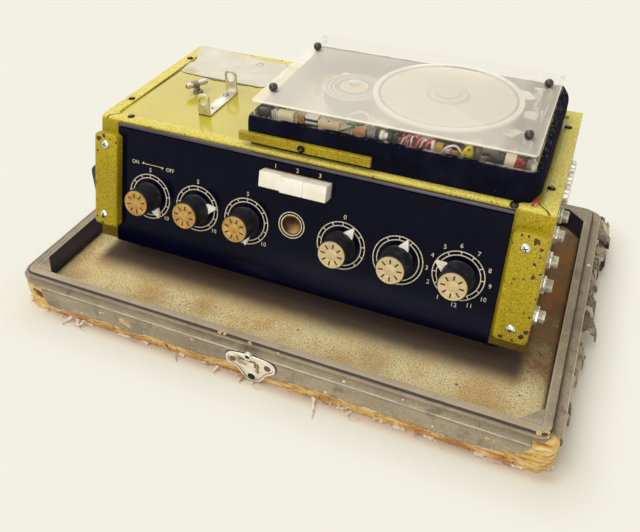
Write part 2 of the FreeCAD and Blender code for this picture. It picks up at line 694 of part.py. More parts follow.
idlerReach = "(dim.drumRadius + dim.runGap + dim.idlerRadius)"
idlerX = f"(dim.drumX + {idlerReach} * cos(dim.idlerBearing))"
idlerY = f"(dim.drumY + {idlerReach} * sin(dim.idlerBearing))"
pulleyReach = "(dim.idlerRadius + dim.runGap + dim.pulleyRadius)"
pulleyX = f"({idlerX} + {pulleyReach} * cos(dim.pulleyBearing))"
pulleyY = f"({idlerY} + {pulleyReach} * sin(dim.pulleyBearing))"


def deckPlate():
    deck = newBody("deck_plate")
    low = "dim.deckTop - dim.deckThick"
    block(deck, low, "dim.deckTop", "dim.coverLeft - 4.5", "dim.coverFront + 2.5", "dim.coverRight + 5",
          "dim.coverBack + 3")
    drill(deck, low, "dim.deckTop", [("dim.drumX", "dim.drumY")], "9.1")
    drill(deck, low, "dim.deckTop", [(pulleyX, pulleyY)], "5")
    keep(deck, "deck_plate")


def coverPosts():
    members = []
    for x, y in posts:
        under = "dim.coverTop - dim.coverWall"
        post = turned("coverPost", [
            (0, "dim.deckTop"), ("dim.postRadius", "dim.deckTop"), ("dim.postRadius", under),
            ("dim.studRadius", under), ("dim.studRadius", "dim.nutCentre + 1"),
            (0, "dim.nutCentre + 1")])
        members.append(place(post, x, y))
    group("cover_posts", members)


def drumBearing():
    bore = "dim.shaft + dim.runFit"
    bearing = turned("drum_bearing", [
        (bore, 120), (9, 120), (9, "dim.deckTop"), (15, "dim.deckTop"), (15, "dim.deckTop + 3"),
        (9, "dim.deckTop + 3"), (9, "dim.drumLow - dim.runGap"), (bore, "dim.drumLow - dim.runGap")])
    keep(place(bearing, "dim.drumX", "dim.drumY"), "drum_bearing")


def echoDrum():
    web = "dim.drumHigh - dim.rimDrop"
    inner = "dim.drumRadius - dim.drumWall"
    seat = "dim.drumRadius - dim.bandThick"
    drum = turned("echo_drum", [
        (0, 122), ("dim.shaft", 122), ("dim.shaft", "dim.drumLow"), (14, "dim.drumLow"),
        (14, f"{web} - 5"), (inner, f"{web} - 5"), (inner, "dim.drumLow"),
        ("dim.drumRadius", "dim.drumLow"), ("dim.drumRadius", "dim.bandLow"),
        (seat, "dim.bandLow"), (seat, "dim.bandHigh"), ("dim.drumRadius", "dim.bandHigh"),
        ("dim.drumRadius", "dim.drumHigh"), ("dim.drumRadius - dim.rimRing", "dim.drumHigh"),
        ("dim.drumRadius - dim.rimRing", web), (0, web)])
    keep(place(drum, "dim.drumX", "dim.drumY"), "echo_drum")

    band = turned("drum_band", [
        (seat, "dim.bandLow"), ("dim.drumRadius", "dim.bandLow"),
        ("dim.drumRadius", "dim.bandHigh"), (seat, "dim.bandHigh")])
    keep(place(band, "dim.drumX", "dim.drumY"), "drum_band")


def idler():
    bore = "dim.pin + dim.runFit"
    wheel = turned("idler_wheel", [
        (bore, "dim.idlerLow"), ("dim.idlerRadius", "dim.idlerLow"),
        ("dim.idlerRadius", "dim.idlerHigh"), ("dim.hubRadius", "dim.idlerHigh"),
        ("dim.hubRadius", "dim.hubHigh - 2"), ("dim.hubRadius - 3", "dim.hubHigh"),
        (bore, "dim.hubHigh")])
    keep(place(wheel, idlerX, idlerY), "idler_wheel")

    pinPiece = turned("idlerPin", [
        (0, "dim.armLow + dim.armThick"), (6, "dim.armLow + dim.armThick"),
        (6, "dim.idlerLow - dim.runGap"), ("dim.pin", "dim.idlerLow - dim.runGap"),
        ("dim.pin", "dim.hubHigh + dim.runGap"), (4.6, "dim.hubHigh + dim.runGap"),
        (4.6, "dim.hubHigh + 2.5"), (0, "dim.hubHigh + 3")])
    place(pinPiece, idlerX, idlerY)

    arm = newBody("idlerArm")
    bar = newSketch(arm, "XY_Plane", "dim.armLow")
    slope = math.radians(number("idlerBearing"))
    reach = number("drumRadius") + number("runGap") + number("idlerRadius")
    endX = number("drumX") + reach * math.cos(slope)
    endY = number("drumY") + reach * math.sin(slope)
    across = math.atan2(endY - number("pivotY"), endX - number("pivotX")) + math.pi / 2
    wide = [6 * math.cos(across), 6 * math.sin(across)]
    outline(bar, [
        (f"dim.pivotX + {wide[0]}", f"dim.pivotY + {wide[1]}"),
        (f"dim.pivotX - {wide[0]}", f"dim.pivotY - {wide[1]}"),
        (f"{idlerX} - {wide[0]}", f"{idlerY} - {wide[1]}"),
        (f"{idlerX} + {wide[0]}", f"{idlerY} + {wide[1]}")])
    pad(arm, bar, "dim.armThick")
    foot = newSketch(arm, "XY_Plane", "dim.deckTop")
    circle(foot, "dim.pivotX", "dim.pivotY", 5)
    pad(arm, foot, "dim.armLow - dim.deckTop + dim.armThick + 2")
    group("idler_arm", [arm, pinPiece])


def motorDrive():
    can = turned("motor", [
        (0, "dim.motorLow"), ("dim.motorRadius", "dim.motorLow"),
        ("dim.motorRadius", "dim.deckTop - dim.deckThick"),
        ("dim.motorShaft + dim.runFit", "dim.deckTop - dim.deckThick"),
        ("dim.motorShaft + dim.runFit", 98), (0, 98)])
    keep(place(can, pulleyX, pulleyY), "motor")
    pulley = turned("motor_pulley", [
        (0, 100), ("dim.motorShaft", 100), ("dim.motorShaft", "dim.pulleyLow - 3"),
        (6, "dim.pulleyLow - 3"), (6, "dim.pulleyLow"), ("dim.pulleyRadius", "dim.pulleyLow"),
        ("dim.pulleyRadius", "dim.pulleyHigh"), (0, "dim.pulleyHigh")])
    keep(place(pulley, pulleyX, pulleyY), "motor_pulley")


def magneticHeads():
    members = []
    for bearing in headBearings:
        head = newBody("magneticHead")
        near = "dim.drumRadius + dim.runGap + 0.1"
        block(head, "dim.deckTop", "dim.headTop", near, "-dim.headWide / 2",
              f"{near} + dim.headDeep", "dim.headWide / 2")
        dress(head, "Chamfer", "3", lambda edge: upright(edge) and edge.CenterOfMass.x < 65)
        turn(head, (0, 0, 1), str(bearing))
        members.append(place(head, "dim.drumX", "dim.drumY"))
    group("magnetic_heads", members)


# ---- inside the cabinet --------------------------------------------------------------------

def powerTransformer():
    floor = "dim.cabinetLow + dim.baseThick"
    unit = newBody("power_transformer")
    block(unit, floor, f"{floor} + 60", -172, 20, -102, 56)
    block(unit, f"{floor} + 12", f"{floor} + 48", -160, 8, -114, 68)
    keep(unit, "power_transformer")


def amplifier():
    floor = "dim.cabinetLow + dim.baseThick"
    board = newBody("ampBoard")
    block(board, "58", "60", -96, -18, 140, 46)
    members = [board]
    for x in (-90, 134):
        for y in (-12, 40):
            spacer = turned("boardSpacer", [(0, floor), (4, floor), (4, 58), (0, 58)])
            members.append(place(spacer, x, y))
    group("amplifier_board", members)

    tubes = []
    for x in valvePlaces:
        tube = turned("valveTube", [
            (0, 60), (11, 60), (11, 66), (10.5, 66), (10.5, 106), (3, 113), (0, 113)])
        tubes.append(place(tube, x, 4))
    group("valves", tubes)


# ---- clear cover ---------------------------------------------------------------------------

def clearCover():
    cover = newBody("clear_cover")
    block(cover, "dim.coverLow", "dim.coverTop", "dim.coverLeft", "dim.coverFront",
          "dim.coverRight", "dim.coverBack")
    dress(cover, "Fillet", "3", upright)
    dress(cover, "Fillet", "1", atHeight(number("coverTop")))
    block(cover, "dim.coverLow", "dim.coverTop - dim.coverWall", "dim.coverLeft + dim.coverWall",
          "dim.coverFront + dim.coverWall", "dim.coverRight - dim.coverWall",
          "dim.coverBack - dim.coverWall", cut=True)
    drill(cover, "dim.coverTop - dim.coverWall", "dim.coverTop", posts, "dim.studRadius + 0.6")
    keep(cover, "clear_cover")


def coverFelt():
    felt = newBody("cover_felt")
    block(felt, "dim.cabinetTop", "dim.feltTop", "dim.feltLeft", "dim.feltFront",
          "dim.feltRight", "dim.feltBack")
    middle = (number("feltLeft") + number("feltRight")) / 2
    dress(felt, "Fillet", "dim.feltRound",
          lambda edge: upright(edge) and edge.CenterOfMass.x > middle)
    dress(felt, "Fillet", "4",
          lambda edge: upright(edge) and edge.CenterOfMass.x < number("feltLeft") + 0.01)
    block(felt, "dim.cabinetTop", "dim.feltTop", "dim.coverLeft", "dim.coverFront",
          "dim.coverRight", "dim.coverBack", cut=True)
    drill(felt, "dim.cabinetTop", "dim.cabinetTop + 2.5", flangeScrews[-1:],
          "dim.screwHead + 1")
    keep(felt, "cover_felt")


def clampBar():
    bar = newBody("clampStrip")
    block(bar, "147", "155", -58.2, "dim.feltFront - 4", 53.5, "dim.feltFront")
    dress(bar, "Chamfer", "0.6", lambda edge: along(edge, (1, 0, 0)))
    screw = newBody("clampScrew")
    face = newSketch(screw, "XZ_Plane", "-dim.feltFront + 4")
    circle(face, -3.1, 151.5, 3.1)
    pad(screw, face, 1.6)
    group("clamp_bar", [bar, screw])


def thumbNuts():
    for index, (x, y) in enumerate(posts, 1):
        nut = doc.addObject("Part::Sphere", f"nutBall{index}")
        nut.setExpression("Radius", "dim.nutRadius")
        place(nut, x, y, "dim.nutCentre")
        trim = doc.addObject("Part::Box", f"nutTrim{index}")
        for side in ("Length", "Width"):
            trim.setExpression(side, "3 * dim.nutRadius")
        trim.setExpression("Height", "2 * dim.nutRadius")
        place(trim, f"{x} - 1.5 * dim.nutRadius", f"{y} - 1.5 * dim.nutRadius",
              "dim.coverTop + 0.1 - 2 * dim.nutRadius")
        bore = doc.addObject("Part::Cylinder", f"nutBore{index}")
        bore.setExpression("Radius", "dim.studRadius + dim.runFit")
        bore.setExpression("Height", "dim.nutCentre + 1.5 - dim.coverTop + 2")
        place(bore, x, y, "dim.coverTop - 2")
        flat = doc.addObject("Part::Cut", f"nutFlat{index}")
        flat.Base, flat.Tool = nut, trim
        whole = doc.addObject("Part::Cut", f"thumb_nut_{index}")
        whole.Base, whole.Tool = flat, bore
        keep(whole, f"thumb_nut_{index}")


# ---- build and write -----------------------------------------------------------------------

caseFloor()
caseBoards()
caseRim()
caseCovering()
catchPlate()
basePlate()
rubberFeet()
frontFrame()
sidePlate("left_side", -1)
sidePlate("right_side", 1)
rearCover()
topPlate()
cabinetScrews()
controlPanel()
endCaps()
uBracket()
earthPost()
mainsInlet()
sockets()
for index, (x, angle) in enumerate(knobs, 1):
    knob(index, x, angle)
controlPots()
pushButtons()
buttonFrame()
magicEye()
deckPlate()
coverPosts()
drumBearing()
echoDrum()
idler()
motorDrive()
magneticHeads()
powerTransformer()
amplifier()
clearCover()
coverFelt()
clampBar()
thumbNuts()
doc.recompute()

for thing in doc.Objects:
    if "Invalid" in thing.State or "Error" in thing.State:
        raise RuntimeError(f"{thing.Label} failed: {thing.State}")
os.makedirs("parts", exist_ok=True)
for thing in subparts:
    shape = thing.Shape
    if shape.isNull() or not shape.isValid():
        raise RuntimeError(f"{thing.Label} has no valid shape")
    shape.exportStep(f"parts/{thing.Label}.step")
    print(f"{thing.Label:20s} {len(shape.Solids):3d} solids {shape.Volume / 1000:9.2f} cm3")
print(len(subparts), "sub-parts")
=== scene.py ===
import bmesh
import bpy
import math
import random
from functools import reduce
from mathutils import Matrix, Vector, noise


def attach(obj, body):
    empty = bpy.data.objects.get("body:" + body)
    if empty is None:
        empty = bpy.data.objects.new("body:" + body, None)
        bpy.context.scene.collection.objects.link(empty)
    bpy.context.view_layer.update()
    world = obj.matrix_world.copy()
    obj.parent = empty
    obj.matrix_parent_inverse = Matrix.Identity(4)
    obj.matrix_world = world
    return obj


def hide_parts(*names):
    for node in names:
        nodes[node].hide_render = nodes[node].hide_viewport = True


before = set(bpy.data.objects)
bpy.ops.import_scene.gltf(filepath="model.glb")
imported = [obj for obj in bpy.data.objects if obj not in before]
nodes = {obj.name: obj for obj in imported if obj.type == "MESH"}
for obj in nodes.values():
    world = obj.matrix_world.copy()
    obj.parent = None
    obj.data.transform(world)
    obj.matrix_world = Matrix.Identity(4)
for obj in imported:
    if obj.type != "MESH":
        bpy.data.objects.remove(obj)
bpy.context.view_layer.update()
mm = 0.001


def srgb(*colour):
    # a colour as it is seen on a screen, 0 to 255, made linear
    shares = [value / 255 for value in colour]
    return (*(s / 12.92 if s <= 0.04045 else ((s + 0.055) / 1.055) ** 2.4 for s in shares), 1.0)


class Shade:
    # wraps an output socket, so that arithmetic on it adds Math nodes
    def __init__(self, finish, socket):
        self.finish, self.socket = finish, socket

    def math(self, operation, *values):
        return self.finish.add("Math", {"operation": operation}, dict(enumerate(values)))

    def __abs__(self):
        return self.math("ABSOLUTE", self)

    def atMost(self, other):
        return self.math("MINIMUM", self, other)

    def atLeast(self, other):
        return self.math("MAXIMUM", self, other)

    def between(self, low, high):
        # 0 at low and 1 at high, with smooth ends
        inputs = {"Value": self, "From Min": low, "From Max": high}
        return self.finish.add("MapRange", {"interpolation_type": "SMOOTHSTEP"}, inputs)

    def line(self, middle, outer, inner):
        # 1 along a line at middle, fading from inner to outer on both sides of it
        return abs(self - middle).between(outer, inner)


for word, operation in (("add", "ADD"), ("sub", "SUBTRACT"), ("mul", "MULTIPLY"),
                        ("truediv", "DIVIDE"), ("pow", "POWER")):
    setattr(Shade, f"__{word}__", lambda one, other, o=operation: one.math(o, one, other))
    setattr(Shade, f"__r{word}__", lambda one, other, o=operation: one.math(o, other, one))


class Finish:
    # one material, or the world; its colour is laid on in layers, and its lengths are millimetres
    def __init__(self, name, world=False):
        self.kind = "World" if world else "Material"
        self.holder = (bpy.data.worlds if world else bpy.data.materials).new(name)
        self.holder.use_nodes = True
        self.tree = self.holder.node_tree
        self.tree.nodes.clear()
        self.place = self.add("TexCoord", output="Object")

    def add(self, kind, settings=None, inputs=None, output=0):
        node = self.tree.nodes.new("ShaderNode" + kind)
        for key, value in (settings or {}).items():
            setattr(node, key, value)
        for key, value in (inputs or {}).items():
            if isinstance(value, Shade):
                self.tree.links.new(value.socket, node.inputs[key])
            else:
                node.inputs[key].default_value = value
        return Shade(self, node.outputs[output])

    def mapped(self, stretch=None, shift=None, turn=None):
        if not (stretch or shift or turn):
            return self.place
        inputs = {"Vector": self.place, "Scale": stretch or (1, 1, 1),
                  "Location": shift or (0, 0, 0), "Rotation": turn or (0, 0, 0)}
        return self.add("Mapping", {}, inputs)

    def noise(self, scale, detail=3, roughness=0.5, stretch=None, shift=None, distortion=0.0):
        inputs = {"Vector": self.mapped(stretch, shift), "Scale": scale, "Detail": detail,
                  "Roughness": roughness, "Distortion": distortion}
        return self.add("TexNoise", {}, inputs)

    def cells(self, scale):
        inputs = {"Vector": self.place, "Scale": scale}
        return self.add("TexVoronoi", {"feature": "SMOOTH_F1"}, inputs, "Distance")

    def axes(self):
        split = self.add("SeparateXYZ", {}, {0: self.place}).socket.node
        return [Shade(self, socket) / mm for socket in split.outputs]

    def away(self, point):
        inputs = {0: self.place, 1: tuple(value * mm for value in point)}
        return self.add("VectorMath", {"operation": "DISTANCE"}, inputs, "Value") / mm

    def around(self, x, y):
        # how far off an upright line is
        across, along = self.axes()[:2]
        return ((across - x) ** 2 + (along - y) ** 2) ** 0.5

    def scatter(self, spots, ragged, tear=1.6):
        # how far off the nearest spot is, over that spot's radius, with an edge that a noise tears
        nearest = reduce(Shade.atMost, [self.away(point) / radius for point, radius in spots])
        return nearest + (ragged - 0.5) * tear

    def mix(self, factor, first, second):
        return self.add("Mix", {"data_type": "RGBA"}, {0: factor, 6: first, 7: second}, 2)

    def base(self, factor, first, second):
        self.colour = self.mix(factor, srgb(*first), srgb(*second))

    def lay(self, *layers):
        # each layer is how much it covers, then its red, green and blue, or a shade
        for factor, *colour in layers:
            colour = srgb(*colour) if len(colour) > 1 else colour[0]
            self.colour = self.mix(factor, self.colour, colour)

    def skin(self, roughness, bump=None, more=None):
        # the bump is a height, its strength and its depth
        inputs = {"Base Color": self.colour, "Roughness": roughness, **(more or {})}
        if bump:
            height, strength, depth = bump
            relief = {"Height": height, "Strength": strength, "Distance": depth * mm}
            inputs["Normal"] = self.add("Bump", {}, relief)
        return self.add("BsdfPrincipled", {}, inputs)

    def show(self, shader):
        output = self.tree.nodes.new("ShaderNodeOutput" + self.kind)
        self.tree.links.new(shader.socket, output.inputs["Surface"])
        return self.holder

    def done(self, roughness, bump=None, more=None):
        return self.show(self.skin(roughness, bump, more))

    def seenRays(self):
        # 1 for what the camera sees, also by way of metal or glass
        return reduce(Shade.atLeast, [self.add("LightPath", output=f"Is {ray} Ray")
                                      for ray in ("Camera", "Glossy", "Transmission")])


# finishes of the cabinet

paint = {"gold": (182, 160, 2), "shade": (150, 128, 0), "pale": (214, 196, 60),
         "deep": (96, 74, 2), "flange": (255, 240, 122), "rust": (84, 60, 20),
         "chip": (54, 32, 18), "bare": (226, 204, 120), "cell": 620}


def hammeredPaint(name, chips=()):
    coat = Finish(name)
    cloud, fleck = coat.noise(14), coat.noise(760, 3, 0.8)
    x, y, height = coat.axes()
    # paler along the flange and its fold where it lies flat on top, like the top plate and partly a
    # painted highlight, with a mitred seam at each front corner
    flat = height.between(139.4, 141.6) * height.between(146, 144.5)
    seam = (abs(x) * 0.687 + y * 0.726).line(96.56, 0.8, 0.4) * abs(x).between(177.4, 178.4)
    dots = coat.noise(210, 2, shift=(0.3, 0.1, 0.7)).between(0.69, 0.73)
    coat.base(cloud.between(0.35, 0.7), paint["gold"], paint["shade"])
    coat.lay((fleck.between(0.5, 0.68) * 0.8, *paint["pale"]),
             (fleck.between(0.46, 0.34) * 0.75, *paint["deep"]),
             (flat * (fleck.between(0.42, 0.56) * 0.4 + 0.4), *paint["flange"]),
             (seam * flat, 46, 24, 12),
             ((height + cloud * 8).between(52, 44) * 0.8, *paint["rust"]),
             (dots * 0.85, 82, 58, 18))
    rough = fleck * 0.2 + 0.3
    if chips:
        near = coat.scatter(chips, coat.noise(420, 5, 0.8) * 0.6 + coat.noise(150) * 0.4, 6.5)
        bare = near.between(1.02, 0.92)
        metal = coat.mix(fleck.between(0.45, 0.6), srgb(*paint["chip"]), srgb(118, 84, 44))
        # a pale rim round each chip is a painted highlight on its edge; inside it lies the dark
        # bare metal
        coat.lay((near.between(1.25, 1.08) * 0.6, *paint["bare"]), (bare, metal))
        rough = rough + bare * (0.7 - rough)
    return coat.done(rough, (coat.cells(paint["cell"]) + fleck * 0.5, 0.45, 0.3),
                     {"Coat Weight": 0.06, "Coat Roughness": 0.15, "Specular IOR Level": 0.25})


def plainMetal(name, colour, rough=0.3, grain=(1, 1, 1), scale=500, worn=0.25, metallic=1.0):
    metal = Finish(name)
    streak = metal.noise(scale, 4, 0.6, grain)
    cloud = metal.noise(40) * 0.5 + streak * 0.5
    light = srgb(*colour)
    dark = (*(channel * (1 - worn) for channel in light[:3]), 1.0)
    metal.colour = metal.mix(cloud.between(0.35, 0.7), dark, light)
    return metal.done(streak * 0.2 + rough - 0.08, (streak, 0.15, 0.1), {"Metallic": metallic})


def moulded(name, colour, rough=0.35, grain=900, strength=0.12, dust=0.15, coat=0.0):
    plastic = Finish(name)
    fine = plastic.noise(grain)
    dark = srgb(*colour)
    light = (*(min(1, channel * 1.25 + 0.012) for channel in dark[:3]), 1.0)
    plastic.colour = plastic.mix(plastic.noise(55).between(0.45, 0.75) * dust * 4, dark, light)
    return plastic.done(fine * 0.12 + rough - 0.06, (fine, strength, 0.1), {"Coat Weight": coat})


def dress(names, material):
    # gives CAD nodes the material; their mesh stays as it is
    for name in names.split():
        for slot in nodes[name].material_slots:
            slot.material = material


dress("front_frame left_side right_side rear_cover clamp_bar", hammeredPaint("hammeredPaint"))
dress("base_plate cover_posts idler_arm control_pots button_frame",
      plainMetal("bareSteel", (176, 174, 168), 0.34))
dress("mains_inlet rubber_feet", moulded("blackMoulding", (26, 25, 26), 0.42))
dress("drum_bearing motor_pulley", plainMetal("brassDisc", (206, 176, 92), 0.35))
dress("magnetic_heads", plainMetal("alloy", (205, 198, 184), 0.35))
dress("drum_band", plainMetal("magneticRim", (150, 142, 128), 0.4))
dress("motor power_transformer", moulded("motorGrey", (60, 60, 62), 0.5))
dress("amplifier_board", moulded("boardBrown", (110, 74, 40), 0.5))
dress("valves", moulded("clearGlass", (220, 224, 220), 0.1))
dress("thumb_nut_1 thumb_nut_2 thumb_nut_3 thumb_nut_4",
      moulded("glossBlack", (14, 13, 15), 0.16, 300, 0.05, 0.05, 0.6))
print("finishes made")


# piece tools: everything is laid out in millimetres, and made metres when it is finished

def newPiece(name, body, bm, finishes, replaced=(), smooth=40, turned=None):
    if turned is not None:
        bmesh.ops.transform(bm, matrix=turned, verts=bm.verts)
    bmesh.ops.scale(bm, vec=(mm, mm, mm), verts=bm.verts)
    mesh = bpy.data.meshes.new(name)
    bm.to_mesh(mesh)
    bm.free()
    for finish in finishes:
        mesh.materials.append(finish)
    if smooth:
        mesh.shade_smooth()
        mesh.set_sharp_from_angle(angle=math.radians(smooth))
    piece = newObject(name, mesh)
    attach(piece, body)
    if replaced:
        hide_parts(*replaced)
    return piece


def newObject(name, content):
    item = bpy.data.objects.new(name, content)
    bpy.context.scene.collection.objects.link(item)
    return item


def thicken(piece, thickness, offset=-1):
    wall = piece.modifiers.new("wall", "SOLIDIFY")
    wall.thickness = thickness * mm
    wall.offset = offset


def wrapped(bm, columns, rows, place):
    # a flat grid, each of whose points is moved to where place puts it
    made = bmesh.ops.create_grid(bm, x_segments=columns, y_segments=rows, size=0.5)
    for vert in made["verts"]:
        vert.co = place(vert.co.x + 0.5, vert.co.y + 0.5)


def rounded(bm, edges, width, segments=2):
    bmesh.ops.bevel(bm, geom=edges, offset=width, segments=segments, profile=0.5,
                    affect="EDGES", material=-1)


def moved(bm, faces, matrix):
    corners = list({vert for face in faces for vert in face.verts})
    bmesh.ops.transform(bm, matrix=matrix, verts=corners)


def tinted(bm, had, index):
    # the faces made since then take a material
    made = [face for face in bm.faces if face not in had]
    for face in made:
        face.material_index = index
    return made


def turnedShape(bm, profile, centre=(0, 0, 0), steps=48, index=0):
    # a closed profile of (radius, height) pairs, spun round an upright line through centre
    middle = Vector(centre)
    verts = [bm.verts.new(middle + Vector((radius, 0, height))) for radius, height in profile]
    edges = [bm.edges.new(pair) for pair in zip(verts, verts[1:] + verts[:1])]
    had = set(bm.faces)
    bmesh.ops.spin(bm, geom=verts + edges, cent=middle, axis=(0, 0, 1), angle=2 * math.pi,
                   steps=steps, use_merge=True)
    around = list({vert for face in bm.faces if face not in had for vert in face.verts})
    bmesh.ops.remove_doubles(bm, verts=around, dist=0.0005)
    made = tinted(bm, had, index)
    bmesh.ops.recalc_face_normals(bm, faces=made)
    return made


def ring(bm, inner, outer, low, high, centre=(0, 0, 0), steps=36, index=0):
    profile = [(inner, low), (outer, low), (outer, high), (inner, high)]
    turnedShape(bm, profile, centre, steps, index)


def boxAt(bm, low, high, bevel=0.0, index=0, turned=None, segments=2):
    had = set(bm.faces)
    size = Vector(high) - Vector(low)
    matrix = Matrix.Translation((Vector(high) + Vector(low)) / 2) @ Matrix.Diagonal((*size, 1))
    made = bmesh.ops.create_cube(bm, size=1, matrix=matrix)["verts"]
    if bevel:
        rounded(bm, list({edge for vert in made for edge in vert.link_edges}), bevel, segments)
    faces = tinted(bm, had, index)
    if turned is not None:
        moved(bm, faces, turned)


def roundedBlock(bm, low, high, upright, rim, openBelow=False):
    # a box with rounded upright corners and a rounded top edge, each as (width, segments)
    boxAt(bm, low, high)
    if openBelow:
        bottom = min(bm.faces, key=lambda face: face.calc_center_median().z)
        bmesh.ops.delete(bm, geom=[bottom], context="FACES_ONLY")
    rounded(bm, [edge for edge in bm.edges
                 if abs(edge.verts[0].co.z - edge.verts[1].co.z) > 1], *upright)
    rounded(bm, [edge for edge in bm.edges
                 if all(vert.co.z > high[2] - 0.01 for vert in edge.verts)], *rim)


def flatShape(bm, corners, low, high, index=0, bevel=0.0):
    # an upright block on the outline given by its corners, anticlockwise
    had = set(bm.faces)
    base = bm.faces.new([bm.verts.new((x, y, low)) for x, y in corners])
    base.normal_update()
    raised = bmesh.ops.extrude_face_region(bm, geom=[base])["geom"]
    tops = [item for item in raised if isinstance(item, bmesh.types.BMVert)]
    bmesh.ops.translate(bm, verts=tops, vec=(0, 0, high - low))
    faces = tinted(bm, had, index)
    bmesh.ops.recalc_face_normals(bm, faces=faces)
    if bevel:
        rounded(bm, [edge for edge in {e for v in tops for e in v.link_edges}
                     if all(abs(vert.co.z - high) < 1e-6 for vert in edge.verts)], bevel)
    return tinted(bm, had, index)


def tube(bm, points, radius, sides=8, index=0, taper=1.0):
    # a round wire through the points, closed at both ends
    had = set(bm.faces)
    points = [Vector(point) for point in points]
    before = side = None
    for place, point in enumerate(points):
        ahead = points[min(place + 1, len(points) - 1)] - points[max(place - 1, 0)]
        ahead.normalize()
        if side is None:
            side = ahead.orthogonal().normalized()
        side = (side - ahead * side.dot(ahead)).normalized()
        up = ahead.cross(side)
        width = radius * (1 + (taper - 1) * place / max(1, len(points) - 1))
        loop = []
        for step in range(sides):
            angle = 2 * math.pi * step / sides
            loop.append(bm.verts.new(point + side * math.cos(angle) * width
                                     + up * math.sin(angle) * width))
        edges = [bm.edges.new((loop[i], loop[(i + 1) % sides])) for i in range(sides)]
        if before is None:
            bm.faces.new(reversed(loop))
        else:
            bmesh.ops.bridge_loops(bm, edges=before + edges)
        before = edges
    bm.faces.new(loop)
    bmesh.ops.recalc_face_normals(bm, faces=tinted(bm, had, index))


def screwHead(bm, profile, place, blade, turns, steps=36):
    # a turned head, and its slot or cross as (half length, half width, low, high)
    turnedShape(bm, profile, place, steps)
    length, width, low, high = blade
    for turn in turns:
        lie = Matrix.Translation(place) @ Matrix.Rotation(turn, 4, "Z")
        boxAt(bm, (-length, -width, low), (length, width, high), 0, 1, lie)


def standing(y, z=0, lean=0.0):
    # stands what is laid out flat up against the front, leaning back by an angle
    rise, back = math.cos(lean), math.sin(lean)
    return Matrix(((1, 0, 0, 0), (0, back, -rise, y), (0, rise, back, z), (0, 0, 0, 1)))


def curved(points, steps=6):
    # a smooth line of points through a few of them
    points = [Vector(point) for point in points]
    ends = [points[0] * 2 - points[1]] + points + [points[-1] * 2 - points[-2]]
    line = []
    for a, b, c, d in zip(ends, ends[1:], ends[2:], ends[3:]):
        for step in range(steps):
            t = step / steps
            line.append(0.5 * ((2 * b) + (c - a) * t + (2 * a - 5 * b + 4 * c - d) * t * t
                               + (3 * b - a - 3 * c + d) * t ** 3))
    return line + [points[-1]]


def wavy(x, y, z, size, seed=0.0):
    # a smooth random number from -1 to 1
    return noise.noise(Vector((x / size + seed, y / size - seed, z / size + 0.37 * seed)))


def fromTable(table, value):
    # each row is a key and its numbers, which are blended between two rows
    for (a, *first), (b, *second) in zip(table, table[1:]):
        if value <= b:
            share = max(0, value - a) / (b - a)
            return [one + (two - one) * share for one, two in zip(first, second)]
    return table[-1][1:]


# case: worn boards, torn covering, lining and shreds

case = {"halfX": 230, "halfY": 151, "round": 11, "wornRound": 24, "wall": 15.2, "columns": 900,
        "skin": 1.0}
straights = [2 * (case["halfX"] - case["round"]), 2 * (case["halfY"] - case["round"])] * 2
arcLength = math.pi / 2 * case["round"]
perimeter = sum(straights) + 4 * arcLength

# where the covering is torn off: distance round from the front left, and height on the section
tornEdge = [(0, 28.6), (13, 28.4), (19, 27.4), (21, 18), (23, 11), (27, 8), (30, 7), (39, 9),
            (47, 9.5), (52, 10), (69, 11), (87, 12.5), (101, 10), (115, 9.5), (124, 12),
            (135, 13), (149, 11), (172, 11.5), (189, 13), (200, 14), (219, 9), (234, 9),
            (250, 12), (260, 13), (277, 12.5), (301, 11.5), (324, 11), (339, 12), (361, 11),
            (383, 10), (397, 10.4), (408, 12), (414, 16), (420, 15), (425, 19), (429, 24),
            (432, 30), (434, 34), (456, 34), (458, 27), (461, 18), (466, 11), (474, 7), (500, 6),
            (520, 10), (545, 15), (560, 9), (580, 8), (600, 17), (640, 20), (668, 12),
            (690, 15), (720, 21), (738, 19), (752, 8), (790, 5), (900, 6), (1000, 3.5),
            (1100, 6), (1195, 4), (1240, 3), (1330, 6), (1420, 4), (1470, 5), (1484, 12),
            (1489, 24), (1494, 28.6), (1506, 28.6)]


def wornCorner(point, inset):
    # the front left corner is worn much rounder than the other three
    worn = case["wornRound"]
    middle = Vector((worn - case["halfX"], worn - case["halfY"]))
    away = point - middle
    limit = worn - 0.9 * min(inset, 2) - 0.42 * max(0, inset - 2)
    if away.x < 0 and away.y < 0 and away.length > limit:
        return middle + away.normalized() * limit
    return point


def roundTheCase(distance, inset, radius):
    # a point on the rounded rectangle that lies inset from the outside of the case
    distance = distance % perimeter
    halfX, halfY = case["halfX"] - inset - radius, case["halfY"] - inset - radius
    corners = [(-halfX, -halfY), (halfX, -halfY), (halfX, halfY), (-halfX, halfY)]
    for side in range(4):
        heading = side * math.pi / 2
        out = Vector((math.sin(heading), -math.cos(heading)))
        start, end = Vector(corners[side]), Vector(corners[(side + 1) % 4])
        if distance <= straights[side]:
            point = start.lerp(end, distance / straights[side]) + out * radius
            return wornCorner(point, inset), out
        distance -= straights[side]
        if distance <= arcLength or side == 3:
            angle = heading + distance / arcLength * math.pi / 2
            out = Vector((math.sin(angle), -math.cos(angle)))
            return wornCorner(end + out * radius, inset), out
        distance -= arcLength


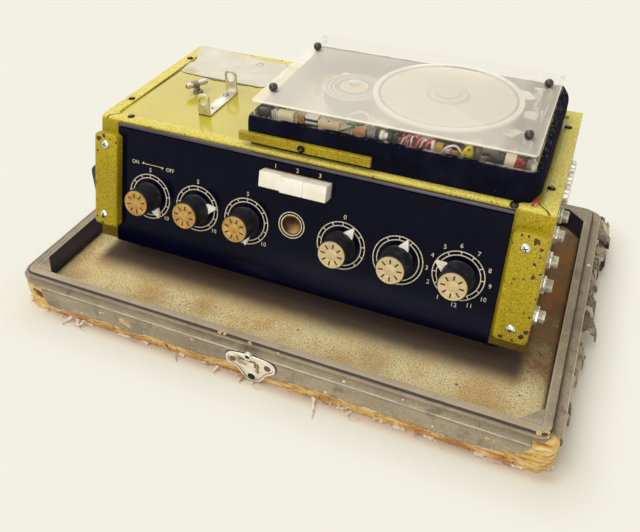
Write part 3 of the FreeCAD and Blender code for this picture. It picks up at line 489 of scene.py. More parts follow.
# the section of the covering: length along it, inset and height
section = [(0, 0, 0), (26.6, 0, 26.6), (27.4, 0.35, 27.3), (28.4, 1.1, 27.5), (30.5, 3.4, 27.4),
           (33.2, 6.0, 27.4), (34.2, 6.9, 26.9), (34.6, 7.15, 27.2), (39.8, 7.2, 32.5),
           (40.6, 7.5, 33.1), (41.4, 8.1, 33.4), (47.0, 14.0, 33.4), (47.8, 14.9, 33.2),
           (48.4, 15.2, 32.6), (68.0, 15.2, 12.6)]
sectionRows = [0, 0.09, 0.2, 0.32, 0.45, 0.6, 0.75, 0.88, 1, 26.6, 27.4, 28.4, 30.5, 33.2,
               34.2, 34.6, 36.5, 39.8, 40.6, 41.4, 44.2, 47.0, 47.8, 48.4, 52, 60, 68]


def tornAt(distance):
    ragged = wavy(distance, 0, 0, 5.5, 3.1) * 1.5 + wavy(distance, 4, 0, 1.9, 8.4) * 0.8
    return max(0.25, fromTable(tornEdge, distance)[0] + ragged)


def coveringPoint(u, v):
    distance = u * perimeter
    torn = tornAt(distance)
    row = round(v * (len(sectionRows) - 1))
    wallTop = section[1][0]
    if row < 9:
        share = sectionRows[row] * 0.96
        length = torn + (wallTop - torn) * share if torn < wallTop else torn
    else:
        length = max(torn, sectionRows[row])
    inset, height = fromTable(section, length)
    radius = 11 - 2 * min(inset, 7.2) / 7.2
    if inset > 7.2:
        radius = 9 - (inset - 7.2) * 8.4 / 8
    point, out = roundTheCase(distance, inset, radius)
    lift = max(0, 1 - (length - torn) / 4.5) * (0.6 + 0.8 * wavy(distance, 0, 0, 14, 5.5))
    sway = wavy(point.x, point.y, height, 26, 1.3) * 0.25 + wavy(point.x, point.y, height, 7) * 0.1
    if height < 26.6 and inset < 1:
        point = point + out * (lift * 1.2 + sway)
    else:
        height += sway * 0.7
    return Vector((point.x, point.y, max(0.3, height)))


def fromEdge(coat, inset, radius):
    # how far inside the rounded rectangle, which itself lies inset from the outside of the case
    across, along = coat.axes()[:2]
    x = abs(across) - (case["halfX"] - inset - radius)
    y = abs(along) - (case["halfY"] - inset - radius)
    inside = x.atLeast(y).atMost(0)
    return radius - (x.atLeast(0) ** 2 + y.atLeast(0) ** 2) ** 0.5 - inside


leatherMarks = {
    "chips": [((-118, -151, 19), 3.6), ((-113, -151, 16.5), 2.6), ((-30, -143.3, 33), 1.6),
              ((-26, -143.3, 33), 1.3), ((182, -151, 21), 1.6), ((187, -151, 19.5), 1.1),
              ((214, -143, 33), 2.0), ((219, -140, 33), 1.7), ((-52, -151, 24), 1.4),
              ((-4, -144, 32), 1.8), ((20, -143.6, 31), 1.2), ((-219, -143, 29), 2.2)],
    "specks": [((75, -147.5, 27.6), 1.0), ((62, -151, 14), 0.9), ((226.5, 62, 27.6), 1.8),
               ((-140, -151, 20), 0.9), ((-137, -151, 21.2), 0.7), ((120, -147, 27.6), 0.7),
               ((-160, -151, 13), 0.8), ((-64, -151, 11), 0.9), ((144, -151, 15), 0.7)],
    "stains": [((-205, -151, 15), 5), ((-2, -147, 27.5), 14), ((-20, -139, 33.4), 10),
               ((34, -151, 12), 7), ((226, -20, 27), 12), ((219, 40, 33.4), 12),
               ((-8, -151, 24), 6), ((-215, 60, 33), 14), ((-60, 148, 27), 16)]}


def leatherFinish():
    hide = Finish("greyLeathercloth")
    inset, rimInset = fromEdge(hide, 0, 11), fromEdge(hide, 7.2, 9)
    x, y, height = hide.axes()
    grain, fine, cloud = hide.cells(1300), hide.noise(1100, 4, 0.75), hide.noise(16, 4, 0.6)
    tint = hide.noise(33, 3, 0.6, shift=(0.6, 0.1, 0.3))
    streak = hide.noise(60, 5, 0.7, (0.25, 0.25, 2.4))
    scuff = hide.noise(130, 6, 0.8, (0.35, 0.35, 2.2), (0.8, 0.4, 1.9))
    smudge = hide.noise(42, 5, 0.7, shift=(1.7, 0.2, 0.4))
    stains = hide.scatter(leatherMarks["stains"], streak, 0.9)
    # pale along the outer fold and a painted highlight along the rim's wall, both patchy, with
    # painted shade as a dark line under the fold
    fold = inset.line(0.5, 0.42, 0.15) * height.between(26.2, 27.0) * height.between(30, 28)
    rim = height.line(29.4, 1.2, 0.3) * rimInset.between(1.0, 0.6) * 0.6
    worn = (fold + rim).atMost(1) * (scuff.between(0.36, 0.56) * 0.8 + 0.2)
    shadeUnder = inset.line(0.1, 0.3, 0.1) * height.line(25.7, 0.6, 0.2)
    # paler along the top of the front rim, and painted shade in the gap under the rim's edge
    onRim = height.between(32.9, 33.4) * y.between(-128, -138)
    grooveShade = abs(height - (32.0 + scuff * 1.6)).between(1.15, 0.75) * rimInset.between(1.6, 1.2)
    # the inner walls are lined in black
    inner = rimInset.between(7.3, 7.7) * height.between(33.0, 32.4)
    nap = hide.mix(fine.between(0.5, 0.75), srgb(50, 51, 74), srgb(92, 90, 108))
    lip = rimInset.line(7.4, 0.6, 0.2) * height.between(32.0, 32.8)
    torn = hide.noise(620, 5, 0.8)
    bare = hide.scatter(leatherMarks["chips"], torn, 3.6).between(1.05, 0.9)
    wood = hide.mix(fine.between(0.35, 0.6), srgb(176, 120, 58), srgb(240, 208, 142))
    white = hide.scatter(leatherMarks["specks"], torn).between(1.1, 0.9)
    hide.base(cloud.between(0.3, 0.7), (140, 125, 103), (172, 158, 132))
    hide.lay((tint.between(0.5, 0.7) * 0.45, 150, 128, 118),
             (tint.between(0.48, 0.3) * 0.2, 150, 140, 118),
             (streak.between(0.48, 0.75) * 0.7, 190, 175, 146),
             (fine.between(0.52, 0.66) * 0.65, 96, 84, 70),
             (fine.between(0.47, 0.34) * 0.55, 212, 200, 172),
             (scuff.between(0.58, 0.66) * 0.5, 88, 76, 66),
             (scuff.between(0.40, 0.34) * 0.45, 216, 204, 178),
             (smudge.between(0.55, 0.70) * 0.6, 98, 84, 70),
             (stains.between(1.1, 0.2) * 0.45, 92, 74, 60),
             (worn * 0.75, 236, 224, 196), (shadeUnder * 0.5, 70, 58, 46),
             (onRim * 0.4, 222, 202, 166), (grooveShade * 0.95, 34, 26, 22), (inner, nap),
             (lip * 0.55, 214, 198, 170), (bare, wood), (white, 246, 240, 226))
    lump = grain * 0.8 + fine * 0.7 + cloud * 3.0 - bare * 2.0
    return hide.done(fine * 0.25 + 0.42, (lump, 0.5, 0.4))


def woodFinish():
    wood = Finish("wornPlywood")
    layers = wood.noise(70, 4, 0.6, (0.2, 0.2, 5.0), distortion=0.6)
    fibre = wood.noise(210, 5, 0.8, (0.35, 0.35, 1.6), distortion=0.8)
    cloud, fine = wood.noise(45, 4, 0.65), wood.noise(800, 4, 0.75)
    low = wood.axes()[2].between(10, 5)
    pale = wood.noise(60, 4, 0.7, shift=(0.2, 0.5, 0.8)).between(0.52, 0.64)
    dirt = wood.noise(120, 5, 0.75, shift=(0.4, 0.9, 0.1)).between(0.55, 0.64)
    stainAndShadow = wood.scatter([((-205, -151, 19), 4.2), ((-203, -151, 16), 2.6),
                          ((-209, -150, 21), 2.4)], fibre, 1.8)
    wood.base(layers.between(0.35, 0.65), (216, 164, 72), (236, 192, 104))
    wood.lay((fibre.between(0.46, 0.60) * 0.8, 255, 236, 176),
             (fibre.between(0.47, 0.36) * 0.85, 158, 88, 34),
             (low * cloud.between(0.46, 0.6) * 0.6, 184, 104, 48),
             (pale * low * 0.6, 240, 214, 160), (dirt * (low * 0.6 + 0.3), 70, 36, 22),
             (stainAndShadow.between(1.1, 0.8) * 0.9, 104, 22, 22))
    return wood.done(fine * 0.2 + 0.6, (fibre * 1.5 + fine * 0.5, 0.9, 0.9))


liningMarks = {"specks": [((150, -104, 12), 1.1), ((153, -106, 12), 0.7), ((-196, -30, 12), 1.0),
                          ((60, -120, 12), 0.8), ((104, -131, 12), 0.8), ((196, -96, 12), 0.9),
                          ((-60, -100, 12), 0.9), ((-150, -122, 12), 0.7)],
               "brown": [((-118, -112, 12), 22), ((-70, -104, 12), 14), ((60, -126, 12), 26),
                         ((84, -104, 12), 18), ((172, -112, 12), 26), ((208, -60, 12), 20),
                         ((204, 10, 12), 28), ((-196, -112, 12), 14), ((-30, -128, 12), 18),
                         ((140, 112, 12), 30), ((-150, 100, 12), 34)]}


def liningFinish():
    cloth = Finish("stainedLining")
    inputs = {"Vector": cloth.mapped(turn=(0, 0, math.pi / 4)), "Scale": 165, "Distortion": 2.2,
              "Detail": 2, "Detail Scale": 3}
    warp, weft = [cloth.add("TexWave", {"bands_direction": way}, inputs) for way in ("X", "Y")]
    weave = warp * weft
    thread, cloud = cloth.noise(820, 3, 0.8), cloth.noise(13, 4, 0.6)
    blotch = cloth.noise(30, 5, 0.75, shift=(0.9, 0.3, 0.2))
    pale = cloth.noise(30, 4, 0.6, shift=(0.1, 1.3, 0.5))
    x, y, height = cloth.axes()
    worn = cloth.scatter(liningMarks["brown"], blotch).between(1.2, 0.1)
    specks = cloth.scatter(liningMarks["specks"], thread, 1.0).between(1.1, 0.8)
    spots = cloth.noise(170, 3, shift=(2.2, 0.7, 0.3)).between(0.725, 0.75)
    # browner and darker along the right side beside the cabinet, a painted shadow, and darker where
    # it meets the walls
    right = (x + cloud * 30).between(196, 216) * (y + blotch * 50).between(-80, -20)
    wall = (fromEdge(cloth, case["wall"], 0.6) + blotch * 4).between(4.2, 2.0)
    side = x.between(184, 194) * (y + blotch * 20).between(-78, -60)
    # painted shadow of the cabinet that stands on it, darkest close to it
    apart = (((abs(x) - 187) * 2).atLeast(0) ** 2 + (-73 - y).atLeast(0) ** 2) ** 0.5
    stainAndShadow = (apart + (thread - 0.5) * 20 + (blotch - 0.5) * 12).between(27, 0)
    cloth.base(cloud.between(0.3, 0.7), (250, 222, 152), (255, 242, 182))
    cloth.lay((blotch.between(0.46, 0.64) * 0.6, 224, 168, 94),
              (pale.between(0.54, 0.7) * 0.6, 255, 242, 192),
              (weave * 0.4, 196, 152, 84), (thread.between(0.53, 0.6) * 0.7, 140, 92, 40),
              (thread.between(0.47, 0.4) * 0.85, 255, 246, 206), (worn * 0.45, 186, 128, 66),
              ((spots + specks).atMost(1) * 0.85, 66, 42, 30), (right * 0.5, 166, 124, 84),
              (wall * 0.55, 120, 84, 44), (side * blotch.between(0.42, 0.5) * 0.6, 150, 108, 84),
              (side * blotch.between(0.52, 0.62) * 0.7, 206, 148, 84),
              (side * blotch.between(0.4, 0.34) * 0.7, 74, 60, 74),
              (stainAndShadow * 0.6, 126, 88, 60), (stainAndShadow * stainAndShadow * 0.8, 52, 38, 46))
    return cloth.done(0.93, (weave + thread * 1.4, 0.6, 0.5))


def wornCovering(leather):
    bm = bmesh.new()
    wrapped(bm, case["columns"], len(sectionRows) - 1, coveringPoint)
    bmesh.ops.remove_doubles(bm, verts=bm.verts, dist=0.004)
    bmesh.ops.recalc_face_normals(bm, faces=bm.faces)
    outside = max(bm.faces, key=lambda face: -face.calc_center_median().y)
    if outside.normal.y > 0:
        bmesh.ops.reverse_faces(bm, faces=bm.faces)
    skin = newPiece("worn_covering", "unit", bm, [leather], ["case_covering"])
    thicken(skin, case["skin"])


# the section of the boards, as inset and height from the underside round to the floor
boards = {"columns": 620, "rubbed": 7,
          "rows": [(12, 0.0), (3.2, 0.0), (2.0, 0.35), (1.6, 1.0), (1.45, 2.4), (1.4, 5.0),
                   (1.4, 9.0), (1.35, 13), (1.35, 18), (1.35, 22), (1.35, 25), (1.5, 26.2),
                   (2.4, 26.5), (5, 26.4), (8.6, 26.3), (9.0, 31.6), (9.6, 32.1), (12, 32.1),
                   (13.8, 31.8), (14.0, 30), (14.0, 12.2), (14.4, 10.8)]}


def wornBoards():
    rows = boards["rows"]

    def place(u, v):
        distance = u * perimeter
        inset, height = rows[round(v * (len(rows) - 1))]
        point, out = roundTheCase(distance, inset, max(1.2, 11 - inset * 0.9))
        rough = wavy(point.x, point.y, height * 3, 6, 2.0) * 0.5
        rough += wavy(point.x, point.y, height * 5, 2.2, 5.0) * 0.3
        loose = 1.0 if height < 9 or abs(out.x * out.y) > 0.02 else 0.35
        shift = min(0.25, rough * loose) if height > 0.2 else rough * loose * 0.5
        # the corners are rubbed away underneath
        shift -= max(0, 11 - height) / 11 * boards["rubbed"] * abs(out.x * out.y)
        point = point + out * shift
        return Vector((point.x, point.y, height))

    bm = bmesh.new()
    wrapped(bm, boards["columns"], len(rows) - 1, place)
    bmesh.ops.remove_doubles(bm, verts=bm.verts, dist=0.004)
    bmesh.ops.holes_fill(bm, edges=[edge for edge in bm.edges if edge.is_boundary], sides=0)
    bmesh.ops.recalc_face_normals(bm, faces=bm.faces)
    newPiece("worn_boards", "unit", bm, [woodFinish()], ["case_floor_board", "case_boards"])


liningSheet = {"columns": 108, "rows": 68, "level": 12.0, "thick": 0.9}


def lining():
    width, length = 2 * (case["halfX"] - case["wall"]), 2 * (case["halfY"] - case["wall"])

    def place(u, v):
        x, y = (u - 0.5) * width, (v - 0.5) * length
        buckle = wavy(x, y, 0, 38, 4.4) * 0.35 + wavy(x, y, 0, 12, 6.1) * 0.12
        return Vector((x, y, liningSheet["level"] + buckle))

    bm = bmesh.new()
    wrapped(bm, liningSheet["columns"], liningSheet["rows"], place)
    cloth = newPiece("floor_lining", "unit", bm, [liningFinish()], ["floor_cloth"])
    thicken(cloth, liningSheet["thick"])


# the torn lower edge: where the threads gather, as distance round from the front left
fringe = {"seed": 11, "threads": 90,
          "clumps": [36, 44, 52, 60, 112, 134, 182, 204, 247, 268, 290, 332, 352, 376, 392, 470,
                     540, 610, 700],
          "edges": [(24, 60), (70, 96), (110, 168), (180, 206), (262, 300), (310, 352),
                    (366, 408), (410, 431)],
          "curls": [([(53, -151.6, 5), (53.4, -154, 2.6), (56, -160, 1.2), (58, -167.5, 0.8)], 2.6),
                    ([(-30, -151.4, 4), (-31, -154, 3), (-31.5, -156, 1), (-30, -157.5, 2.6)],
                     2.4),
                    ([(-8, -151.2, 4), (-8, -154.5, 2.4), (-9, -157, 0.9), (-6, -158.5, 2)], 2.8),
                    ([(3, -151.2, 4), (2, -155, 2), (6, -158, 0.8), (11, -157, 0.7)], 1.8),
                    ([(-172, -151.2, 5), (-174, -154, 3), (-177, -157, 0.9), (-175, -160, 1.6)],
                     3.0),
                    ([(-166, -151.2, 4), (-164, -155, 2.5), (-160, -158, 0.8),
                      (-154, -159, 0.8)], 3.6),
                    ([(-159, -151.2, 5), (-160, -155, 3.5), (-163, -157, 2), (-166, -156, 0.8)],
                     2.2),
                    ([(83, -151.4, 3), (81, -154.6, 2), (84, -157.4, 1.4), (88, -156.6, 2.6),
                      (90, -153.5, 2)], 1.6),
                    ([(146, -151.4, 3), (149, -153.6, 2), (153, -155.6, 0.8), (155, -157, 0.7)],
                     1.3),
                    ([(-66, -151.4, 4), (-67, -153.6, 2.4), (-66, -156, 0.8), (-64, -158, 0.7)],
                     1.2),
                    ([(-118, -151.4, 3.4), (-110, -152.8, 2.6), (-100, -153.2, 1.6),
                      (-91, -152.8, 1)], 1.4),
                    ([(176, -151.4, 3), (182, -152.8, 2), (188, -153.2, 1.2), (194, -152.8, 1)],
                     1.2)]}


def tornFringe():
    # paper backing and threads that hang from the torn lower edge
    paper = Finish("tornBacking")
    fibre, cloud = paper.noise(420, 4, 0.7), paper.noise(70)
    paper.base(fibre.between(0.35, 0.65), (214, 188, 160), (255, 244, 232))
    paper.lay((cloud.between(0.56, 0.62) * 0.7, 150, 88, 44),
              (fibre.between(0.6, 0.66) * 0.6, 96, 64, 50))
    finishes = [paper.done(0.85, (fibre, 0.5, 0.3))]

    def place(u, v):
        distance = u * perimeter
        reach = 0.6 + 2.2 * max(0, wavy(distance, 0, 0, 16, 7.7)) ** 1.3
        reach += 0.9 * wavy(distance, 1, 0, 2.4, 3.3) + 0.6 * wavy(distance, 1, 0, 0.9, 1.3)
        inset = 3.4 - v * (3.0 + max(0.1, reach))
        point, out = roundTheCase(distance, max(inset, -5.5), 11 - inset * 0.6)
        height = 2.0 - 1.3 * v + 0.5 * wavy(distance, 5, v * 3, 4, 1.9)
        return Vector((point.x, point.y, max(0.45, height)))

    bm = bmesh.new()
    wrapped(bm, 1100, 4, place)
    middles = [(face, face.calc_center_median()) for face in bm.faces]
    gone = [face for face, spot in middles if wavy(spot.x, spot.y, 0, 13, 2.7) < 0.15]
    bmesh.ops.delete(bm, geom=gone, context="FACES")
    backing = newPiece("torn_backing", "unit", bm, finishes)
    thicken(backing, 0.3, 0)

    draw = random.Random(fringe["seed"])
    bm = bmesh.new()
    for number in range(fringe["threads"]):
        clump = fringe["clumps"][number % len(fringe["clumps"])] + draw.gauss(0, 4)
        distance = clump if number % 4 else draw.uniform(20, perimeter - 20)
        point, out = roundTheCase(distance, 0.2, 11)
        along = Vector((-out.y, out.x))
        length = draw.uniform(1.5, 4.5) * (2 if draw.random() < 0.12 else 1)
        sway = draw.uniform(-1, 1) * length
        line = []
        for step in range(5):
            t = step / 4
            spread = point + out * (t * length * 0.8) + along * (sway * t * t)
            spread = spread + along * (draw.uniform(-0.25, 0.25) * length * t)
            line.append((spread.x, spread.y, max(0.4, 3.2 * (1 - t) + draw.uniform(-0.5, 0.6))))
        tube(bm, line, draw.uniform(0.12, 0.24), 4, taper=0.4)
    newPiece("loose_threads", "unit", bm, finishes)

    # the pale broken edge of the covering, where it is torn
    bm = bmesh.new()
    for start, end in fringe["edges"]:
        line = []
        for step in range(int((end - start) / 0.9)):
            distance = start + 0.9 * step
            height = tornAt(distance) + 0.35 * wavy(distance, 2, 0, 1.3, 4.1)
            point, out = roundTheCase(distance, -0.35 - 0.4 * wavy(distance, 0, 1, 3.1, 2.2), 11)
            line.append((point.x, point.y, max(0.5, height)))
        tube(bm, line, 0.42, 5, taper=0.6)
    newPiece("torn_edge", "unit", bm, finishes)

    # the strips and curls that stand out at the front
    bm = bmesh.new()
    for line, width in fringe["curls"]:
        ribbon(bm, line, width, (1, 0, 0))
    curls = newPiece("front_curls", "unit", bm, finishes)
    thicken(curls, 0.4, 0)


def ribbon(bm, line, width, across, tip=0.35, ragged=0.12):
    line = curved(line, 5)
    across = Vector(across)

    def place(u, v):
        spot = u * (len(line) - 1)
        first = min(int(spot), len(line) - 2)
        point = line[first].lerp(line[first + 1], spot - first)
        half = width / 2 * (1 - (1 - tip) * u ** 2)
        half *= 1 + ragged * 3 * wavy(point.x, point.y, point.z + v * 9, 4.0, width)
        return point + across * (v - 0.5) * 2 * half

    wrapped(bm, 2 * (len(line) - 1), 3, place)


# the covering hangs in peeled pieces from the right side: points down each, its width and tip
peels = [([(229.6, 134, 25.5), (235, 134, 24), (239.5, 135, 17), (241, 136, 6)], 22, 0.8),
         ([(229, 116, 24), (236, 116, 24), (241, 116, 20), (241, 116, 15), (236, 116, 13),
           (233, 116, 16), (234, 116, 19)], 13, 0.8),
         ([(230, 96, 22), (236, 96, 21.5), (240, 95, 17), (240.5, 94, 10), (238, 93, 6)], 17, 0.7),
         ([(230, 76, 21), (233.5, 76, 20), (236.5, 75, 15), (236.5, 74, 8)], 15, 0.45),
         ([(230, 56, 20), (232.6, 56, 18), (234.4, 55, 12), (233.8, 54, 7)], 20, 0.5),
         ([(230, 24, 22), (234, 23, 21), (238, 21, 15), (239, 19, 7)], 20, 0.5),
         ([(230, -4, 21), (235, -5, 20), (240.5, -7, 14), (243, -9, 8)], 22, 0.35),
         ([(230, -38, 20), (233, -39, 18), (236, -40, 11), (236.5, -41, 4)], 13, 0.5),
         ([(230, -60, 19), (232.5, -61, 16), (234, -62, 9), (233.6, -62, 5)], 8, 0.4),
         ([(230, -98, 18), (232.4, -99, 15), (233.4, -100, 8), (233, -101, 4)], 12, 0.4),
         ([(229.4, 64, 14), (233, 64, 12), (236, 63, 6), (239, 62, 1.2)], 9, 0.3),
         ([(229.4, -24, 12), (233, -24, 10), (235, -25, 5), (238, -26, 1.0)], 10, 0.3)]


def peeledStrips():
    strip = Finish("peeledLeathercloth")
    fine, cloud = strip.noise(900, 4, 0.7), strip.noise(75, 4, 0.65)
    pale = (strip.away((240, 134, 16)) + (cloud - 0.5) * 20.8).between(16, 10)
    # each strip is darker near the wall, painted shade under the covering's edge
    shadeUnder = (strip.axes()[0] + fine * 4).between(233, 231.6)
    strip.base(cloud.between(0.35, 0.62), (98, 84, 68), (176, 162, 132))
    strip.lay((fine.between(0.5, 0.62) * 0.7, 60, 50, 42), (pale * 0.85, 236, 226, 182),
              (shadeUnder * 0.9, 34, 28, 26), (cloud.line(0.5, 0.035, 0.015) * 0.8, 38, 32, 30))
    bm = bmesh.new()
    for line, width, tip in peels:
        ribbon(bm, line, width, (0, 1, 0), tip, 0.2)
    for vert in [vert for vert in bm.verts if vert.is_boundary]:
        push = wavy(vert.co.x, vert.co.y, vert.co.z, 2.6, 9.9)
        vert.co += Vector((0, 2.4 * push, 1.8 * push))
        vert.co.z = max(0.6, vert.co.z)
    finish = strip.done(0.6, (fine + cloud * 2, 0.5, 0.4))
    strips = newPiece("peeled_strips", "unit", bm, [finish])
    thicken(strips, 0.8, 0)


# the catch on the front: its outline as place along the front and height, ears first
catch = {"outline": [(-21.2, 18.5), (-20.6, 22.5), (-17.5, 25.6), (-12, 26.8), (-5, 27.6),
                     (2, 27.8), (9, 27.4), (15.5, 26.4), (20, 23.8), (21.4, 20), (20, 15.8),
                     (16.4, 13.2), (13.2, 10.4), (10.2, 5.6), (6.2, 1.8), (0, 0.9), (-4.8, 2.2),
                     (-8.4, 6.6), (-12, 11), (-16.6, 13.2), (-20, 15)],
         "screws": [(-15.3, 19.2, 2.7, 3), (14.6, 19.8, 2.9, 3), (0.4, 5.6, 3.3, 1)],
         "thick": 1.5, "hook": (-1.4, 27, 0),
         "hookRim": [(2.0, 0.2), (3.5, 0.2), (3.5, 2.6), (3.1, 3.0), (2.4, 3.0), (2.0, 2.6)],
         # the tongue that the lid's catch pulls on, and its spring
         "tongue": [((-9.6, 16.4, 0.4), (4.6, 22.4, 1.5), 0.2, 2),
                    ((-8.8, 17.2, 0.4), (3.9, 21.7, 2.3), 0.5, 0),
                    ((4.6, 11.0, 0.8), (7.0, 20.8, 1.4), 0.3, 3),
                    ((5.1, 11.8, 0.8), (6.4, 20.2, 2.0), 0.3, 4)],
         "rust": [((-9, -153, 20.5), 4.5), ((-5, -153, 18.5), 3), ((6.2, -153, 18), 2.2),
                  ((5.2, -153, 13), 1.8), ((-13, -153, 20), 2.2)]}


def catchPlate():
    chrome = Finish("wornChrome")
    cloud, fine = chrome.noise(120, 4, 0.7), chrome.noise(600, 3, 0.7)
    rust = chrome.scatter(catch["rust"], fine, 2.0).between(1.3, 0.6)
    chrome.base(cloud.between(0.4, 0.62), (250, 246, 234), (236, 226, 202))
    chrome.lay((rust * 0.7, 150, 112, 60))
    finishes = [chrome.done(cloud * 0.2 + 0.2, (cloud, 0.2, 0.3), {"Metallic": 0.45}),
                plainMetal("catchScrewAndShadow", (62, 46, 44), 0.4),
                moulded("catchShade", (122, 96, 68), 0.5),
                moulded("catchRust", (104, 74, 54), 0.5),
                plainMetal("catchSpring", (206, 168, 92), 0.3, metallic=0.5)]
    # laid out flat, with the height as Y, then stood against the front
    bm = bmesh.new()
    line = curved([(x, z, 0) for x, z in catch["outline"] + catch["outline"][:1]], 4)[:-1]
    flatShape(bm, [(x, y) for x, y, z in reversed(line)], 0, catch["thick"], 0, 0.3)
    front = [face for face in bm.faces if face.calc_center_median().z > catch["thick"] - 0.01
             and len(face.verts) > 8]
    bmesh.ops.inset_region(bm, faces=front, thickness=1.5, depth=0)
    # the narrow step down inside the rim takes the darker brown, painted shade
    step = bmesh.ops.inset_region(bm, faces=front, thickness=0.5, depth=-0.55)
    for face in step["faces"]:
        face.material_index = 2
    # a dark sheet a little wider than the plate: painted shadow round its edge
    wide = [(x * 1.035, 14.6 + (y - 14.6) * 1.05) for x, y, z in reversed(line)]
    flatShape(bm, wide, 0, 0.35, 1, 0.1)
    for x, z, radius, index in catch["screws"]:
        turnedShape(bm, [(0.2, 0.6), (radius, 0.6), (radius, 1.3), (radius * 0.8, 1.9),
                         (radius * 0.45, 2.25), (0.2, 2.3)], (x, z, 0), 28, index)
        turnedShape(bm, [(radius, 0.6), (radius + 0.7, 0.6), (radius + 0.6, 1.25), (radius, 1.3)],
                    (x, z, 0), 28)
    turnedShape(bm, catch["hookRim"], catch["hook"], 32)
    # the bottom of the hook's hole is a dark disc, painted shade
    ring(bm, 0.2, 2.0, 0.2, 1.6, catch["hook"], 24, 1)
    # the tongue stands on a slightly larger block in the darker brown, a painted shadow round it
    for low, high, bevel, index in catch["tongue"]:
        boxAt(bm, low, high, bevel, index)
    newPiece("catch_plate_chrome", "unit", bm, finishes, ["catch_plate"], 35,
             standing(-case["halfY"]))


leather = leatherFinish()
dress("case_rim", leather)
wornCovering(leather)
wornBoards()
lining()
tornFringe()
peeledStrips()
catchPlate()
print("case finished")


# front panel: printing, knobs, buttons and the tuning eye

lean = math.radians(14.84)
panel = {"row": 46.7, "thick": 0.12, "line": 0.75, "outer": 20.0, "inner": 16.9,
         "eye": (-5.1, 53.3, 0), "front": -75.5, "foot": 37,
         # words and numbers of the buttons and the mains switch, as text, place and size
         "words": [("1", -23.4, 99.9, 5.0), ("2", -4.2, 99.9, 5.0), ("3", 15, 99.9, 5.0),
                   ("ON", -155.3, 75.4, 4.6), ("OFF", -120.6, 74.6, 4.6)],
         "figures": 5.2, "join": ((-146.6, 75.6), (-129.0, 75.6), 0.5),
         "arrows": [[(-148.8, 75.2), (-146.4, 75.2), (-147.2, 77.4)],
                    [(-129.6, 75.8), (-128.4, 73.6), (-127.0, 75.8)]],
         "trim": ((-174, 104.5, -2.9), (164.5, 107.1, 0.6), 0.4)}
onPanel = standing(panel["front"], panel["foot"], lean)
# each knob: place along the panel, pointer angle, tick angles, and its (number, angle, radius)
everyTenth = [-135 + 27 * k for k in range(11)]
fiveAndTen = [(5, 0, 24), (10, 134, 24)]
knobs = [(-140.1, 145, everyTenth, fiveAndTen), (-92.9, 75, everyTenth, fiveAndTen),
         (-45.9, 174, everyTenth, fiveAndTen), (38.5, 29, everyTenth, [(0, 2, 24.5)]),
         (85.8, 18, [-33, -3, 29], []),
         (133.5, -65, [-152 + 30 * k for k in range(12)],
          [(1, -150, 25), (2, -117, 24.5), (3, -90, 24.5), (4, -62, 24.5), (5, -33, 24.5),
           (6, -3, 24.5), (7, 30, 24.5), (8, 65, 24.5), (9, 95, 24.5), (10, 123, 25.5),
           (11, 151, 25), (12, 179, 24.5)])]


def printed(bm, text, x, up, size):
    # one word or number in the plain built-in letters, laid on the panel
    curve = bpy.data.curves.new("figure", "FONT")
    curve.body, curve.size = text, size
    curve.align_x, curve.align_y = "CENTER", "CENTER"
    curve.extrude = panel["thick"] / 2
    curve.resolution_u = 3
    holder = newObject("figure", curve)
    bpy.context.view_layer.update()
    mesh = bpy.data.meshes.new_from_object(holder)
    had = set(bm.verts)
    bm.from_mesh(mesh)
    made = [vert for vert in bm.verts if vert not in had]
    bmesh.ops.translate(bm, verts=made, vec=(x, up, panel["thick"] / 2))
    bpy.data.objects.remove(holder)
    bpy.data.meshes.remove(mesh)
    bpy.data.curves.remove(curve)


def printedRings(bm, x, up, *radii):
    half = panel["line"] / 2
    for radius in radii:
        ring(bm, radius - half, radius + half, 0, panel["thick"], (x, up, 0), 72)


def printedLine(bm, start, end, width):
    start, end = Vector(start), Vector(end)
    side = (end - start).orthogonal().normalized() * width / 2
    flatShape(bm, [start - side, end - side, end + side, start + side], 0, panel["thick"])


def panelPrinting():
    cream = Finish("creamPrint")
    cream.base(cream.noise(700, 4, 0.7).between(0.35, 0.6), (196, 184, 154), (240, 230, 204))
    bm = bmesh.new()
    row, line = panel["row"], panel["line"]
    for x, pointer, ticks, figures in knobs:
        printedRings(bm, x, row, panel["inner"], panel["outer"])
        for angle in ticks:
            out = Vector((math.sin(math.radians(angle)), math.cos(math.radians(angle))))
            middle = Vector((x, row))
            printedLine(bm, middle + out * (panel["inner"] + line / 2),
                        middle + out * (panel["outer"] - line / 2), line)
        for number, angle, radius in figures:
            away = math.radians(angle)
            printed(bm, str(number), x + radius * math.sin(away), row + radius * math.cos(away),
                    panel["figures"])
    for word in panel["words"]:
        printed(bm, *word)
    # on and off are joined by a line with an arrow at each end
    printedLine(bm, *panel["join"])
    for arrow in panel["arrows"]:
        flatShape(bm, arrow, 0, panel["thick"])
    printedRings(bm, *panel["eye"][:2], 8.9, 11.1)
    newPiece("panel_printing", "unit", bm, [cream.done(0.45)], smooth=0,
             turned=onPanel)

    # a bright strip covers the panel's top edge
    trim = plainMetal("satinTrim", (104, 100, 112), 0.35, (1, 1, 30), 60, 0.4)
    bm = bmesh.new()
    boxAt(bm, *panel["trim"])
    newPiece("panel_trim", "unit", bm, [trim], turned=onPanel)


def panelFinish():
    gloss = Finish("blueBlackGloss")
    fine, dust = gloss.noise(60, 4, 0.6), gloss.noise(1300, 3, 0.7).between(0.62, 0.8)
    x, y, height = gloss.axes()
    # a faint painted reflection low on the panel, and along its lower edge
    band = (height + x * 0.06).between(75, 52) * x.between(-80, 60) * height.between(35, 46)
    streak = gloss.noise(9, 4, 0.6, (0.4, 1, 5), (0.3, 0, 0.2))
    gloss.base(fine.between(0.4, 0.7) * 0.5, (4, 4, 26), (8, 8, 34))
    gloss.lay((band * 0.4, 50, 50, 66), (streak.between(0.55, 0.7) * band, 70, 70, 84),
              (dust * 0.3, 110, 106, 106))
    return gloss.done(fine * 0.12 + 0.1, (gloss.noise(18, 2), 0.05, 1),
                      {"Specular IOR Level": 0.09})


